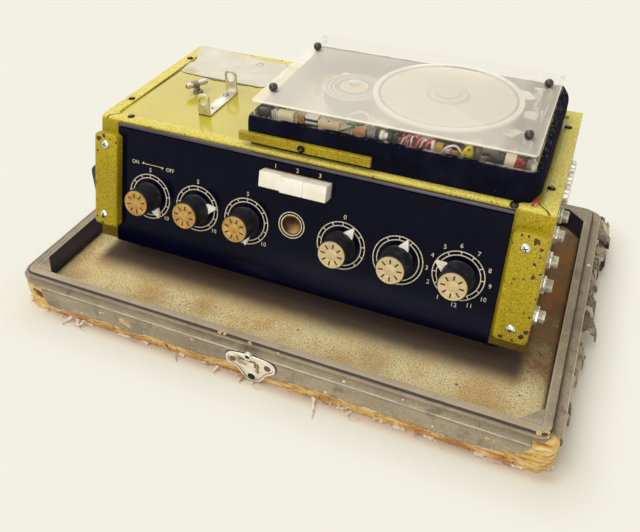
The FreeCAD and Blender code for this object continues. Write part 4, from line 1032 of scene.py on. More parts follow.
def knobFinishes():
    black = Finish("knobBlack")
    fine = black.noise(800)
    black.base(black.noise(120, 4, 0.7).between(0.5, 0.8) * 0.6, (24, 23, 30), (94, 92, 94))
    white = Finish("pointerWhite")
    white.base(white.noise(300, 4, 0.6).between(0.45, 0.75), (255, 252, 242), (236, 228, 204))
    disc = Finish("turnedBrass")
    cloud, speck = disc.noise(180, 4, 0.65), disc.noise(900, 3, 0.7)
    disc.base(cloud.between(0.35, 0.7), (178, 134, 62), (212, 170, 94))
    # the three on the right are paler
    disc.lay((disc.axes()[0].between(-10, 30) * 0.6, 222, 208, 168),
             (speck.between(0.6, 0.75) * 0.7, 112, 76, 34))
    return (black.done(fine * 0.15 + 0.36, (fine, 0.1, 0.1), {"Specular IOR Level": 0.35}),
            white.done(0.4), disc.done(cloud * 0.2 + 0.28, (cloud, 0.15, 0.1), {"Metallic": 0.3}))


knobShape = {"section": [(0.5, 0.6), (12.9, 0.6), (13.2, 0.9), (13.2, 2.7), (12.8, 3.1),
                         (12.75, 3.2), (12.55, 3.6), (11.85, 19.3), (11.6, 20.1), (11.2, 20.3),
                         (11.15, 20.2), (11.15, 18.8), (0.5, 18.8)],
             "disc": [(0.2, 18.9), (11.1, 18.9), (11.1, 20.9), (10.8, 21.25), (10.2, 21.3),
                      (9.9, 21.15), (9.4, 21.15), (9.2, 21.3), (4.9, 21.3), (4.7, 21.2),
                      (4.4, 21.2), (4.2, 21.3), (0.2, 21.3)],
             "edge": [(11.0, 20.2), (11.5, 20.2), (11.5, 20.9), (11.2, 21.2), (11.0, 21.2)],
             "pointer": [(20.2, -0.5), (9.6, -5.6), (9.6, 5.6), (20.2, 0.5)],
             "stroke": [(5.2, -0.6), (5.2, 0.6), (9.0, 0.6), (9.0, -0.6)]}


def makeKnobs():
    blackFinish, whiteFinish, discFinish = knobFinishes()
    ink = moulded("discInk", (28, 22, 16), 0.6)
    for number, (x, pointer, ticks, figures) in enumerate(knobs, 1):
        centre = (x, panel["row"], 0)

        def pointing(corners, angle):
            # corners given as (out, across) from the middle of the knob
            away = math.radians(pointer + angle)
            return [(x + out * math.sin(away) + across * math.cos(away),
                     panel["row"] + out * math.cos(away) - across * math.sin(away))
                    for out, across in corners]

        bm = bmesh.new()
        turnedShape(bm, knobShape["section"], centre, 64)
        flatShape(bm, pointing(knobShape["pointer"], 0), 0.8, 3.3, 1, 0.35)
        newPiece(f"knob_moulding_{number}", f"knob{number}", bm, [blackFinish, whiteFinish],
                 [f"knob_{number}"], 35, onPanel)
        bm = bmesh.new()
        turnedShape(bm, knobShape["disc"], centre, 64)
        turnedShape(bm, knobShape["edge"], centre, 64, 1)
        # plain index strokes round the disc
        for stroke in range(8):
            flatShape(bm, pointing(knobShape["stroke"], 22.5 + 45 * stroke), 21.28, 21.36, 1)
        newPiece(f"knob_disc_{number}", f"knob{number}", bm, [discFinish, ink],
                 [f"knob_cap_{number}"], 35, onPanel)


eye = {"glow": (-1.5, -63.4, 83.5),
       "lens": [(0.3, -8), (7.9, -8), (7.9, -1.2), (7.6, -0.9), (6.5, -2.2), (4.5, -3.4),
                (2.2, -4.1), (0.3, -4.3)],
       "bezel": [(7.7, -2.2), (8.35, -2.2), (8.35, 0.12), (8.1, 0.35), (7.8, 0.2)]}


def makeEye():
    lens = Finish("eyeGlass")
    lens.base(lens.noise(120).between(0.3, 0.7), (40, 24, 14), (76, 48, 26))
    lens.lay((lens.away(eye["glow"]).between(9.4, 1.4) * 0.9, 206, 160, 84))
    finish = lens.done(0.3, more={"Coat Weight": 0.1, "Coat Roughness": 0.05,
                                  "Specular IOR Level": 0.2})
    bm = bmesh.new()
    turnedShape(bm, eye["lens"], panel["eye"], 56)
    newPiece("eye_lens", "unit", bm, [finish], ["magic_eye"], 50, onPanel)
    bezel = plainMetal("eyeBezel", (150, 120, 74), 0.3)
    bm = bmesh.new()
    turnedShape(bm, eye["bezel"], panel["eye"], 56)
    newPiece("eye_bezel", "unit", bm, [bezel], turned=onPanel)


keys = {"middle": -3.9, "pitch": 19.7, "half": 9.8, "low": 83.2, "high": 96.5, "back": -10,
        "faces": (9, 12, 12), "bevel": 0.7}


def makeButtons():
    ivory = Finish("ivoryKeys")
    cloud, fine = ivory.noise(90), ivory.noise(900)
    x, y, height = ivory.axes()
    # darker and yellower at the back of the keys, near the panel: painted shade on their sides
    proud = (height - panel["foot"]) * math.sin(lean) - (y - panel["front"]) * math.cos(lean)
    ivory.base(cloud.between(0.4, 0.75), (255, 252, 240), (248, 240, 216))
    ivory.lay(((proud + fine).between(3.4, 1.2) * 0.7, 204, 150, 72))
    finish = ivory.done(fine * 0.15 + 0.22, (cloud, 0.05, 0.3), {"Coat Weight": 0.2})
    for number, face in enumerate(keys["faces"], 1):
        middle = keys["middle"] + (number - 2) * keys["pitch"]
        bm = bmesh.new()
        boxAt(bm, (middle - keys["half"], keys["low"], keys["back"]),
              (middle + keys["half"], keys["high"], face), keys["bevel"], segments=3)
        newPiece(f"button_key_{number}", f"button{number}", bm, [finish],
                 [f"push_button_{number}"], 35, onPanel)


panelPrinting()
dress("control_panel", panelFinish())
makeKnobs()
makeEye()
makeButtons()
print("front panel finished")


# clear cover and felt

cover = {"low": (-49.5, -37.5, 145.5), "high": (172.2, 112, 181.5), "wall": 3}
feltBox = {"left": -53, "right": 178.5, "front": -40.5, "back": 116.5, "low": 142.6,
           "rows": [(0, 0), (0, 0.5), (1, 4), (1, 9), (1, 14), (1, 18), (0.9, 21), (0.6, 23.4),
                    (0.1, 25), (-0.5, 26), (-0.9, 26.4), (-1, 25.6), (-1, 20), (-1, 8), (-1, 0)],
           "seed": 5, "fibres": 300}


def clearFinish():
    clear = Finish("scratchedAcrylic")
    x, y, height = clear.axes()
    top = cover["high"][2]
    toLeft, toRight = x - cover["low"][0], cover["high"][0] - x
    toFront, toBack = y - cover["low"][1], cover["high"][1] - y
    inset = toLeft.atMost(toRight).atMost(toFront).atMost(toBack)
    cloud = clear.noise(9)
    scratch = clear.noise(36, 5, 0.75, (1, 14, 1), distortion=0.6).between(0.6, 0.7)
    onTop, outside = height.between(top - 2.2, top - 1.2), height.between(top - 1.2, top - 0.8)
    # hazy with fine scratches on top, the haze also a painted reflection, nearly clear down the
    # sides
    hazeAndReflection = (clear.around(88.5, 43).between(54, 66) * 0.05 + 0.54 - x.between(142, 152) * 0.12
            - clear.away((-2, 44, 181)).between(48, 20) * 0.08 + cloud.between(0.3, 0.75) * 0.05
            + scratch * 0.05 + (toLeft + toBack * 0.5).between(160, 40) * 0.06)
    bare = (toBack + x * 0.022).between(33, 24)
    hazeAndReflection = hazeAndReflection * (1 - bare * 0.9)
    # pale along the top's edges, a painted highlight
    edge = inset.between(1.4, 0.5) * onTop * (1 - bare * 0.95)
    rubbed = clear.noise(70, 5, 0.8, shift=(0.2, 0.7, 0.1)).between(0.6, 0.68)
    # the upright corners and the bottom edge catch the light
    corner = toLeft.atMost(toRight).between(5, 2) * toFront.atMost(toBack).between(5, 2)
    sides = (rubbed * toLeft.between(30, 0) * 0.35 + 0.04
             + corner * clear.noise(160, 3, 0.6).between(0.45, 0.6) * 0.5)
    alpha = (outside * hazeAndReflection + (1 - onTop) * sides + edge * 0.35).atMost(0.96)
    clear.base(cloud, (255, 247, 228), (255, 250, 236))
    return clear.done(onTop * 0.4 + 0.05, more={"Alpha": alpha, "Specular IOR Level": 0.4})


def clearCover():
    bm = bmesh.new()
    roundedBlock(bm, cover["low"], cover["high"], (3, 4), (1, 2), openBelow=True)
    shell = newPiece("clear_lid", "cover", bm, [clearFinish()], ["clear_cover"])
    thicken(shell, cover["wall"])


def feltFinish():
    felt = Finish("fuzzyFelt")
    pile, cloud = felt.noise(1100, 4, 0.7), felt.noise(60, 4, 0.6)
    lint = felt.noise(330, 3, 0.7, shift=(0.4, 2, 1)).between(0.71, 0.75)
    x, y, height = felt.axes()
    top = (height + pile * 3).between(169.4, 170.4) * y.between(-33, -36)
    felt.base(cloud.between(0.35, 0.7), (9, 9, 26), (20, 20, 40))
    felt.lay((pile.between(0.6, 0.78) * 0.4, 54, 52, 74), (lint * 0.6, 140, 136, 146),
             (top * cloud.between(0.45, 0.6) * 0.7, 190, 180, 166))
    return felt.done(0.95, (pile + cloud, 0.8, 0.6), {"Specular IOR Level": 0.1})


def feltBand():
    left, right, front, back = (feltBox[key] for key in ("left", "right", "front", "back"))
    halfX, halfY = (right - left) / 2, (back - front) / 2
    midX, midY = (right + left) / 2, (back + front) / 2
    rows = feltBox["rows"]

    def place(u, v):
        # round the band anticlockwise from its front left corner
        angle = 2 * math.pi * u - math.pi * 0.75
        way = Vector((math.cos(angle), math.sin(angle)))
        box = 1 / max(abs(way.x), abs(way.y))
        flat = Vector((way.x * box * halfX, way.y * box * halfY))
        radius = 15 if flat.x > 0 else 5
        corner = Vector((max(0, abs(flat.x) - (halfX - radius)),
                         max(0, abs(flat.y) - (halfY - radius))))
        if corner.x > 0 and corner.y > 0:
            turned = corner.normalized() * radius
            flat = Vector((math.copysign(halfX - radius + turned.x, flat.x),
                           math.copysign(halfY - radius + turned.y, flat.y)))
        side, height = rows[round(v * (len(rows) - 1))]
        x, y = midX + flat.x, midY + flat.y
        z = feltBox["low"] + 0.05 + height
        # side is 1 on the outside and -1 against the clear cover
        lump = wavy(x, y, z, 15, 6.6) * 0.5 + wavy(x, y, z, 4, 2.2) * 0.3
        bulge = 0.5 * math.sin(math.pi * min(1, height / 26))
        away = Vector((x - midX, y - midY)).normalized()
        outside = Vector((x, y)) + away * (bulge + lump) * max(0, side)
        wall = Vector([min(max(value, low - 0.1), high + 0.1)
                       for value, low, high in zip((x, y), cover["low"], cover["high"])])
        x, y = wall.lerp(outside, (side + 1) / 2)
        z += wavy(x, y, 0, 9, 4.1) * (0.5 if height > 22 else 0)
        return Vector((x, y, z))

    bm = bmesh.new()
    wrapped(bm, 420, len(rows) - 1, place)
    bmesh.ops.remove_doubles(bm, verts=bm.verts, dist=0.01)
    bmesh.ops.bridge_loops(bm, edges=[edge for edge in bm.edges if edge.is_boundary])
    bmesh.ops.recalc_face_normals(bm, faces=bm.faces)
    newPiece("felt_band", "cover", bm, [feltFinish()], ["cover_felt"], 60)

    # loose fibres along the top edge
    draw = random.Random(feltBox["seed"])
    bm = bmesh.new()
    for number in range(feltBox["fibres"]):
        u = draw.random() * 0.62
        start = place(u, draw.choice((8, 9, 10)) / 14)
        way = Vector((draw.uniform(-1, 1), draw.uniform(-1, 1), draw.uniform(0.1, 1.2)))
        way = way.normalized() * draw.uniform(0.5, 2.2)
        bend = Vector((draw.uniform(-0.5, 0.5), draw.uniform(-0.5, 0.5), -0.4))
        tube(bm, [start, start + way * 0.5, start + way + bend], 0.07, 3, taper=0.4)
    newPiece("felt_fibres", "cover", bm, [moulded("feltFibre", (196, 188, 176), 0.9)])


clearCover()
feltBand()
print("cover finished")


# cabinet: glossy top, worn end caps, label, bracket, post and sockets

def topFinish():
    coat = Finish("glossyTopPaint")
    cloud, fleck = coat.noise(9), coat.noise(420, 3, 0.6)
    dirt = coat.noise(120, 4, 0.7).between(0.62, 0.74)
    x, y, height = coat.axes()
    # a seam along the left flange, darkened as the painted shadow of the flange's step onto the
    # plate
    seam = (x - y * 0.03).line(-182.2, 1.0, 0.6) * height.between(140.4, 140.9)
    seam = seam * y.between(-36, -34.5) * y.between(89, 87)
    coat.base(cloud.between(0.3, 0.7), (190, 172, 8), (206, 190, 34))
    coat.lay((fleck.between(0.52, 0.75) * 0.35, 220, 206, 84), (dirt * 0.4, 128, 110, 30),
             (seam, 52, 28, 12))
    return coat.done(fleck * 0.12 + 0.14, (fleck, 0.08, 0.2),
                     {"Specular IOR Level": 0.4, "Coat Weight": 0.25, "Coat Roughness": 0.04})


# the end caps, with their bare spots
endCaps = {"rise": 8, "panelEnd": -174.2,
           "head": [(0.2, 6), (3.4, 6), (3.9, 8.05), (3.7, 8.6), (2.9, 9.3), (1.6, 9.8),
                    (0.2, 10)], "blade": (1.9, 0.36, 9.2, 10.02),
           "caps": [("left", -192.5, -169, 12, 97), ("right", 166.7, 192.5, 8, 95.5)],
           "screws": [(-180.9, 87.5, 0), (-182.2, 22.3, 0), (177.1, 84.1, 0), (179.1, 19, 0)],
           "chips": [((183.7, -59.9, 126.9), 2.4), ((177.7, -59.4, 129.1), 1.8),
                     ((172.8, -59.3, 129.4), 1.3), ((167.3, -61.2, 122.0), 1.1),
                     ((170.0, -62.9, 115.9), 0.7), ((187.5, -61.3, 122.0), 1.8),
                     ((188.4, -63, 116.0), 1.0), ((185.8, -64.4, 110.2), 1.6),
                     ((190.5, -66, 104.0), 1.2), ((186.5, -67.0, 100.5), 2.1),
                     ((192.0, -71.0, 85.1), 1.2), ((190.0, -75.0, 70.1), 1.2),
                     ((190.3, -78.2, 58.0), 1.6), ((187.0, -79.6, 52.9), 2.4),
                     ((181.8, -80.4, 49.6), 2.1), ((172.9, -80.3, 50.1), 1.6),
                     ((175.4, -78.8, 55.9), 0.6), ((172.1, -64.7, 108.8), 0.6),
                     ((-187.6, -59.7, 127.9), 2.4), ((-182.3, -59.0, 130.7), 1.8),
                     ((-176.1, -59.3, 129.3), 1.1), ((-170.0, -59.9, 127.1), 1.1),
                     ((-188.7, -62.5, 117.2), 1.2), ((-190.1, -78.5, 57.0), 1.3),
                     ((-183.6, -79.6, 52.9), 1.3), ((-174.0, -79.9, 51.5), 1.0)]}


def cutAll(bm, point, across, reach=0.0):
    bmesh.ops.bisect_plane(bm, geom=bm.verts[:] + bm.edges[:] + bm.faces[:], dist=reach,
                           plane_co=point, plane_no=across)


def wornCaps():
    finish = hammeredPaint("chippedPaint", endCaps["chips"])
    for side, left, right, low, high in endCaps["caps"]:
        bm = bmesh.new()
        roundedBlock(bm, (left, low, -3), (right, high, endCaps["rise"]), (4, 5), (2, 4))
        bmesh.ops.subdivide_edges(bm, edges=bm.edges, cuts=1, use_grid_fill=True)
        if side == "left":
            # the panel's end passes under the left cap
            cutAll(bm, (endCaps["panelEnd"], 0, 0), (1, 0, 0))
            for vert in bm.verts:
                if vert.co.x > endCaps["panelEnd"] + 0.1 and vert.co.z < 0.2:
                    vert.co.z = 0.2
        newPiece(f"end_cap_{side}", "unit", bm, [finish], ["end_caps"], 40,
                 onPanel)
    finishes = [plainMetal("polishedScrew", (232, 230, 222), 0.16),
                moulded("slotShadow", (22, 20, 20), 0.7)]
    for number, place in enumerate(endCaps["screws"], 1):
        bm = bmesh.new()
        screwHead(bm, endCaps["head"], place, endCaps["blade"],
                  (number + 0.5, number + 0.5 + math.pi / 2), 40)
        newPiece(f"cap_screw_{number}", "unit", bm, finishes, ["end_cap_screws"],
                 40, onPanel)


labelShape = {"outline": [(-179.2, 63.9), (-175.6, 61.1), (-165.3, 59.5), (-152.2, 58.9),
                          (-142.2, 57), (-128, 57.4), (-115.5, 56.7), (-103, 58.4),
                          (-90.9, 59.4), (-85.6, 69.4), (-82, 82), (-80.5, 92.3), (-84.5, 104),
                          (-88.8, 112.2), (-102, 112.8), (-117.2, 112.9), (-130, 116),
                          (-141.6, 118.5), (-152, 119.2), (-159.4, 120.6), (-168, 120.9),
                          (-178.3, 121.2), (-187.2, 121.2), (-189.4, 120), (-187, 112),
                          (-184.5, 105.3), (-181, 96), (-178.6, 87.8), (-180.8, 80),
                          (-180.4, 73.2)], "cuts": [(0, -190, -79), (1, 56, 122)]}


def paperLabel():
    # what is left of a paper label, torn round its edge and lifting a little
    paper = Finish("oldPaper")
    fibre, cloud = paper.noise(600, 4, 0.7), paper.noise(45, 4, 0.65)
    smear = paper.noise(30, 5, 0.75, (1, 3, 1), (3, 1, 0)).between(0.56, 0.7)
    rub = (paper.away((-172, 66, 141.4)) + (cloud - 0.5) * 11.2).between(11, 3)
    mark = paper.away((-114.6, 105.3, 141.4)).line(3.1, 0.75, 0.35)
    front = (paper.axes()[1] + fibre.between(0.3, 0.7) * 0.8).between(60.9, 60.2)
    paper.base(cloud.between(0.35, 0.7), (224, 219, 198), (236, 232, 215))
    paper.lay((smear * 0.35, 214, 204, 170), (rub * 0.5, 190, 172, 96),
              (mark * 0.7, 150, 140, 104), (front * 0.8, 70, 60, 42))
    finish = paper.done(0.7, (fibre + cloud * 2, 0.3, 0.3))
    bm = bmesh.new()
    outline = labelShape["outline"]
    line = curved([(x, y, 0) for x, y in outline + outline[:1]], 6)[:-1]
    ragged = [point + Vector((wavy(point.x, point.y, 0, 2.6, 1.5) * 0.9,
                              wavy(point.x, point.y, 2, 2.6, 4.5) * 0.9, 0)) for point in line]
    face = bm.faces.new([bm.verts.new(point) for point in ragged])
    face.normal_update()
    if face.normal.z < 0:
        face.normal_flip()
    for axis, start, end in labelShape["cuts"]:
        for step in range(start, end, 2):
            along = Vector((0, 0, 0))
            along[axis] = step
            cutAll(bm, along, along.normalized(), 0.001)
    for vert in bm.verts:
        edge = 1.0 if vert.is_boundary else 0.0
        buckle = 0.28 + 0.22 * wavy(vert.co.x, vert.co.y, 0, 16, 2.5)
        # it lies over the flange at the back and the left, a sheet's thickness higher
        over = max(-182 - vert.co.x, vert.co.y - 111.3)
        vert.co.z = 141.12 + 1.5 * min(1, max(0, (over + 2.4) / 2.4)) + buckle + edge * 0.12
    label = newPiece("paper_label", "unit", bm, [finish], smooth=60)
    thicken(label, 0.15, 1)


def steelFinish():
    steel = Finish("oldBrightSteel")
    streak, cloud = steel.noise(300, 4, 0.6, (1, 0.15, 1)), steel.noise(70, 4, 0.65)
    steel.base(cloud.between(0.35, 0.7), (190, 186, 170), (234, 230, 214))
    steel.lay((steel.noise(330, 4, 0.7).between(0.64, 0.74) * 0.5, 120, 104, 72))
    return steel.done(streak * 0.2 + 0.26, (streak, 0.1, 0.1), {"Metallic": 0.7})


bracket = {"left": -116.5, "right": -105, "low": 141.15, "thick": 1.5, "round": 3.8,
           "ears": [(-10.5, 161.5), (38.5, 163)], "hole": 4.2, "holeDown": 5.9,
           "screw": (-112, 30.2, 142), "emptyHole": (-110.1, 2.7, 142),
           "head": [(0.2, 0.4), (3.3, 0.4), (3.3, 0.72), (3.0, 0.8), (0.2, 0.8)]}


def bentBracket():
    # a strap with an ear at each end, and a large hole through each ear
    left, right, low, thick = (bracket[key] for key in ("left", "right", "low", "thick"))
    radius, hole = bracket["round"], bracket["hole"]
    ears, drills = bmesh.new(), bmesh.new()
    for y, top in bracket["ears"]:
        arc = []
        for middle, start in ((right - radius, 0), (left + radius, math.pi / 2)):
            arc += [(middle + radius * math.cos(start + math.pi * k / 12),
                     top - radius + radius * math.sin(start + math.pi * k / 12))
                    for k in range(7)]
        ear = flatShape(ears, [(left, low), (right, low)] + arc, 0, thick, bevel=0.2)
        moved(ears, ear, standing(y + thick))
        centre = ((left + right) / 2, y, top - bracket["holeDown"])
        across = Matrix.Translation(centre) @ Matrix.Rotation(math.pi / 2, 4, "X")
        bmesh.ops.create_cone(drills, cap_ends=True, segments=40, radius1=hole, radius2=hole,
                              depth=8, matrix=across)
    holders = []
    for name, part in (("ears", ears), ("drills", drills)):
        mesh = bpy.data.meshes.new(name)
        part.to_mesh(mesh)
        part.free()
        holders.append(newObject(name, mesh))
    cut = holders[0].modifiers.new("holes", "BOOLEAN")
    cut.object = holders[1]
    cut.solver = "EXACT"
    bpy.context.view_layer.update()
    depsgraph = bpy.context.evaluated_depsgraph_get()
    bm = bmesh.new()
    bm.from_mesh(bpy.data.meshes.new_from_object(holders[0].evaluated_get(depsgraph)))
    for holder in holders:
        bpy.data.objects.remove(holder)
    boxAt(bm, (left, bracket["ears"][0][0], low),
          (right, bracket["ears"][1][0] + thick, low + thick), 0.25)
    newPiece("steel_bracket", "unit", bm, [steelFinish()], ["u_bracket"], 35)

    # the countersunk screw in the strap, and its small empty hole
    finishes = [plainMetal("screwSteel", (196, 190, 170), 0.3),
                moulded("holeShadow", (24, 18, 10), 0.8)]
    bm = bmesh.new()
    screwHead(bm, bracket["head"], bracket["screw"], (2.6, 0.35, 0.7, 0.83), (0.8,))
    ring(bm, 2.5, 2.95, 0.72, 0.84, bracket["screw"], 36, 1)
    ring(bm, 0.1, 1.25, 0.5, 0.7, bracket["emptyHole"], 24, 1)
    newPiece("bracket_screw", "unit", bm, finishes)


post = {"foot": (-140.5, 29, 0), "turn": -30, "top": 149.3,
        "body": [(0.2, 140), (4.6, 140), (4.6, 142.6), (4.2, 143.1), (2.2, 143.3),
                 (2.2, 149.3), (0.2, 149.3)],
        "rod": [(1.5, 0), (2.3, 0), (2.6, 0.3), (2.6, 7.2), (2.2, 7.5), (2.2, 9.4), (3.4, 9.6),
                (3.4, 14.6), (2.2, 14.9), (2.2, 16), (2.6, 16.3), (2.6, 20.7), (2.3, 21),
                (1.5, 21)]}


def earthTerminal():
    metal = plainMetal("nickelRod", (238, 232, 218), 0.22, metallic=0.7)
    knurl = Finish("darkKnurl")
    cut = knurl.add("TexWave", {"bands_direction": "DIAGONAL"},
                    {"Vector": knurl.place, "Scale": 420, "Distortion": 0.5})
    knurl.base(cut, (60, 46, 36), (196, 180, 156))
    bm = bmesh.new()
    turnedShape(bm, post["body"], post["foot"], 40, 1)
    rod = turnedShape(bm, post["rod"], steps=32)
    for face in rod:
        if 9.5 < face.calc_center_median().z < 14.8:
            face.material_index = 1
    turn = Matrix.Rotation(math.radians(post["turn"]), 4, "Z")
    turn = Matrix.Translation((*post["foot"][:2], post["top"])) @ turn
    lie = turn @ Matrix.Rotation(math.pi / 2, 4, "X") @ Matrix.Translation((0, 0, -10))
    moved(bm, rod, lie)
    finishes = [metal, knurl.done(0.4, (cut, 0.6, 0.4), {"Metallic": 0.7})]
    newPiece("earth_terminal", "unit", bm, finishes, ["earth_post"], 35)


sockets = {"side": 192.5, "nut": (7.6, 2.6, 1.9),
           "washer": [(5.0, 0), (8.2, 0), (8.2, 0.5), (5.0, 0.6)],
           "pins": {"count": 5, "out": 4.3, "turn": 45},
           "jacks": [(45.5, 83), (16.5, 83), (-19.5, 83), (-49.5, 83), (-55.5, 57)],
           "rounds": [(96.5, 99), (74.5, 99), (53.5, 99)],
           "body": [(6.4, 1.2), (6.4, 4.3), (6.7, 4.6), (7.6, 4.5), (8.6, 3.5), (8.6, 0), (7, 0),
                    (7, -8), (6.4, -8)]}


def outwards(y, z):
    # lays what stands upright out from the right side
    place = Matrix.Translation((sockets["side"], y, z))
    return place @ Matrix.Rotation(math.pi / 2, 4, "Y")


def sideSockets():
    finishes = [plainMetal("socketPlate", (246, 242, 232), 0.16, scale=200, worn=0.4,
                           metallic=0.75), moulded("socketBlack", (18, 18, 20), 0.5)]
    thread = [(3.3, -6), (4.6, -6), (4.6, 3.2)]
    for turn in range(6):
        level = 3.3 + 0.75 * turn
        thread += [(5.25, level), (4.8, level + 0.38)]
    thread += [(5.1, 7.9), (4.4, 8.2), (3.3, 8.0)]
    radius, deep, middle = sockets["nut"]
    for number, (y, z) in enumerate(sockets["jacks"], 1):
        # a hexagon nut, a washer and the threaded nose
        bm = bmesh.new()
        turn = Matrix.Translation((0, 0, middle)) @ Matrix.Rotation(0.4 * number, 4, "Z")
        bmesh.ops.create_cone(bm, cap_ends=True, segments=6, radius1=radius, radius2=radius,
                              depth=deep, matrix=turn)
        rounded(bm, bm.edges[:], 0.35)
        turnedShape(bm, sockets["washer"], steps=40)
        turnedShape(bm, thread, steps=40)
        ring(bm, 0.1, 3.35, -5.9, -5.5, steps=24, index=1)
        newPiece(f"jack_{number}", "unit", bm, finishes, ["jack_sockets"], 30,
                 outwards(y, z))
    for number, (y, z) in enumerate(sockets["rounds"], 1):
        bm = bmesh.new()
        turnedShape(bm, sockets["body"], steps=44)
        ring(bm, 0.2, 6.4, -2, 1.5, index=1)
        pins = sockets["pins"]
        for hole in range(pins["count"]):
            angle = math.radians(pins["turn"] * hole)
            place = (pins["out"] * math.sin(angle), pins["out"] * math.cos(angle), 0)
            ring(bm, 0.1, 0.75, 1.3, 1.6, place, 12)
        for side in (-1, 1):
            turnedShape(bm, [(0.1, 0), (1.9, 0), (1.6, 0.9), (0.1, 1.2)], (side * 11.5, 0, 0), 20)
        newPiece(f"round_socket_{number}", "unit", bm, finishes, ["din_sockets"], 30,
                 outwards(y, z))


screws = {"head": [(0.2, -0.4), (3.1, -0.4), (3.15, 0.1), (2.7, 0.75), (1.7, 1.15), (0.2, 1.3)],
          "barHead": [(0.2, 0), (2.3, 0), (2.35, 0.5), (1.9, 1.1), (0.9, 1.45), (0.2, 1.5)],
          "bar": (-3.1, -46, 151.5), "cabinet": [(-186.5, -9.1, 142.6), (-185.5, 89.9, 142.6),
                                                 (184.1, -11.7, 142.6), (183.8, 90, 142.6),
                                                 (-167, -38, 142.6), (164, -38, 142.6)]}


def screwHeads():
    # dark raised screws along the cabinet's edges
    finishes = [plainMetal("blackenedScrew", (46, 42, 40), 0.35),
                plainMetal("rubbedSlot", (170, 150, 110), 0.3)]
    bm = bmesh.new()
    for number, place in enumerate(screws["cabinet"]):
        screwHead(bm, screws["head"], place, (1.9, 0.28, 0.6, 1.31), (0.7 + number,))
    newPiece("cabinet_screw_heads", "unit", bm, finishes, ["cabinet_screws"], 35)
    # the screw at the end of the bar that clamps the felt
    bm = bmesh.new()
    screwHead(bm, screws["barHead"], (0, 0, 0), (1.4, 0.25, 1.0, 1.56), (0.5,), 32)
    turnedShape(bm, [(2.4, 0), (3.3, 0), (3.2, 0.35), (2.4, 0.4)], steps=32)
    face = Matrix.Translation(screws["bar"]) @ Matrix.Rotation(math.pi / 2, 4, "X")
    newPiece("clamp_bar_screw", "cover", bm, finishes, turned=face)


dress("top_plate", topFinish())
wornCaps()
paperLabel()
bentBracket()
earthTerminal()
sideSockets()
screwHeads()
print("cabinet finished")


# drum, wheels, heads and wiring on the deck

drumShape = {"centre": (88.5, 43, 0), "darkRings": [(9.5, 0.8), (17, 0.8), (55.6, 1.3)],
             "hub": [(3.2, 175.6), (15.4, 175.6), (15.4, 176.7), (15.0, 176.9), (9.8, 176.9),
                     (9.2, 177.2), (6.4, 177.2), (6.1, 176.9), (3.4, 176.9), (3.2, 176.6)],
             "cap": [(0.2, 175.6), (3.0, 175.6), (3.0, 177.2), (2.4, 177.5), (0.2, 177.6)]}
idler = {"centre": (1.978, 58.505, 0),
         "tyre": [(11.5, 148), (26, 148), (26.6, 148.6), (26.6, 159.4), (26, 160), (22.5, 160),
                  (22.1, 159.6), (18.5, 159.6), (18.1, 160), (11.5, 160)],
         "hub": [(3.05, 148.2), (11.6, 148.2), (11.6, 160.6), (8.8, 162.4), (6.8, 162.5),
                 (6.2, 161.8), (4.8, 161.8), (3.05, 162.3)],
         "edges": [(26.0, 160.1), (22.3, 160.1), (18.3, 160.1), (11.7, 160.9), (5.4, 162.4)]}


def deckFinish():
    deck = Finish("creamDeck")
    deck.base(deck.noise(25, 4, 0.6).between(0.35, 0.7), (248, 240, 214), (255, 250, 232))
    deck.lay((deck.noise(70, 5, 0.7).between(0.55, 0.7) * 0.4, 180, 158, 112))
    return deck.done(deck.noise(500) * 0.15 + 0.4)


def drumFinish():
    alloy = Finish("turnedAlloy")
    radius = alloy.around(*drumShape["centre"][:2])
    grooves = alloy.add("TexNoise", {"noise_dimensions": "1D"},
                        {"W": radius, "Scale": 1.4, "Detail": 2})
    cloud = alloy.noise(22, 4, 0.6)
    alloy.base(cloud.between(0.3, 0.7), (222, 214, 194), (234, 227, 208))
    alloy.lay((grooves.between(0.4, 0.7) * 0.4, 196, 186, 160),
              (radius.between(56.4, 57.2) * 0.9, 255, 255, 248))
    for middle, width in drumShape["darkRings"]:
        alloy.lay((radius.line(middle, width, width * 0.4) * 0.95, 44, 36, 26))
    return alloy.done(cloud * 0.1 + 0.4, (grooves, 0.12, 0.2))


def drumDetail(finish):
    bm = bmesh.new()
    turnedShape(bm, drumShape["hub"], drumShape["centre"], 64)
    turnedShape(bm, drumShape["cap"], drumShape["centre"], 32)
    newPiece("drum_hub", "drum", bm, [finish])


def idlerWheel():
    rubber = Finish("idlerTyre")
    fine, cloud = rubber.noise(500, 4, 0.7), rubber.noise(40)
    rubber.base(cloud.between(0.35, 0.7), (58, 56, 52), (84, 80, 74))
    finishes = [rubber.done(fine * 0.2 + 0.5, (fine, 0.3, 0.2)),
                moulded("idlerHub", (230, 188, 110), 0.4),
                moulded("idlerEdgeHighlight", (250, 244, 228), 0.5)]
    bm = bmesh.new()
    turnedShape(bm, idler["tyre"], idler["centre"], 72)
    turnedShape(bm, idler["hub"], idler["centre"], 56, 1)
    # pale along its edges: painted highlights
    for radius, top in idler["edges"]:
        turnedShape(bm, [(radius - 0.5, top - 0.6), (radius + 0.55, top - 0.6),
                         (radius + 0.5, top), (radius - 0.45, top)], idler["centre"], 72, 2)
    newPiece("idler_disc", "idler", bm, finishes, ["idler_wheel"], 35)


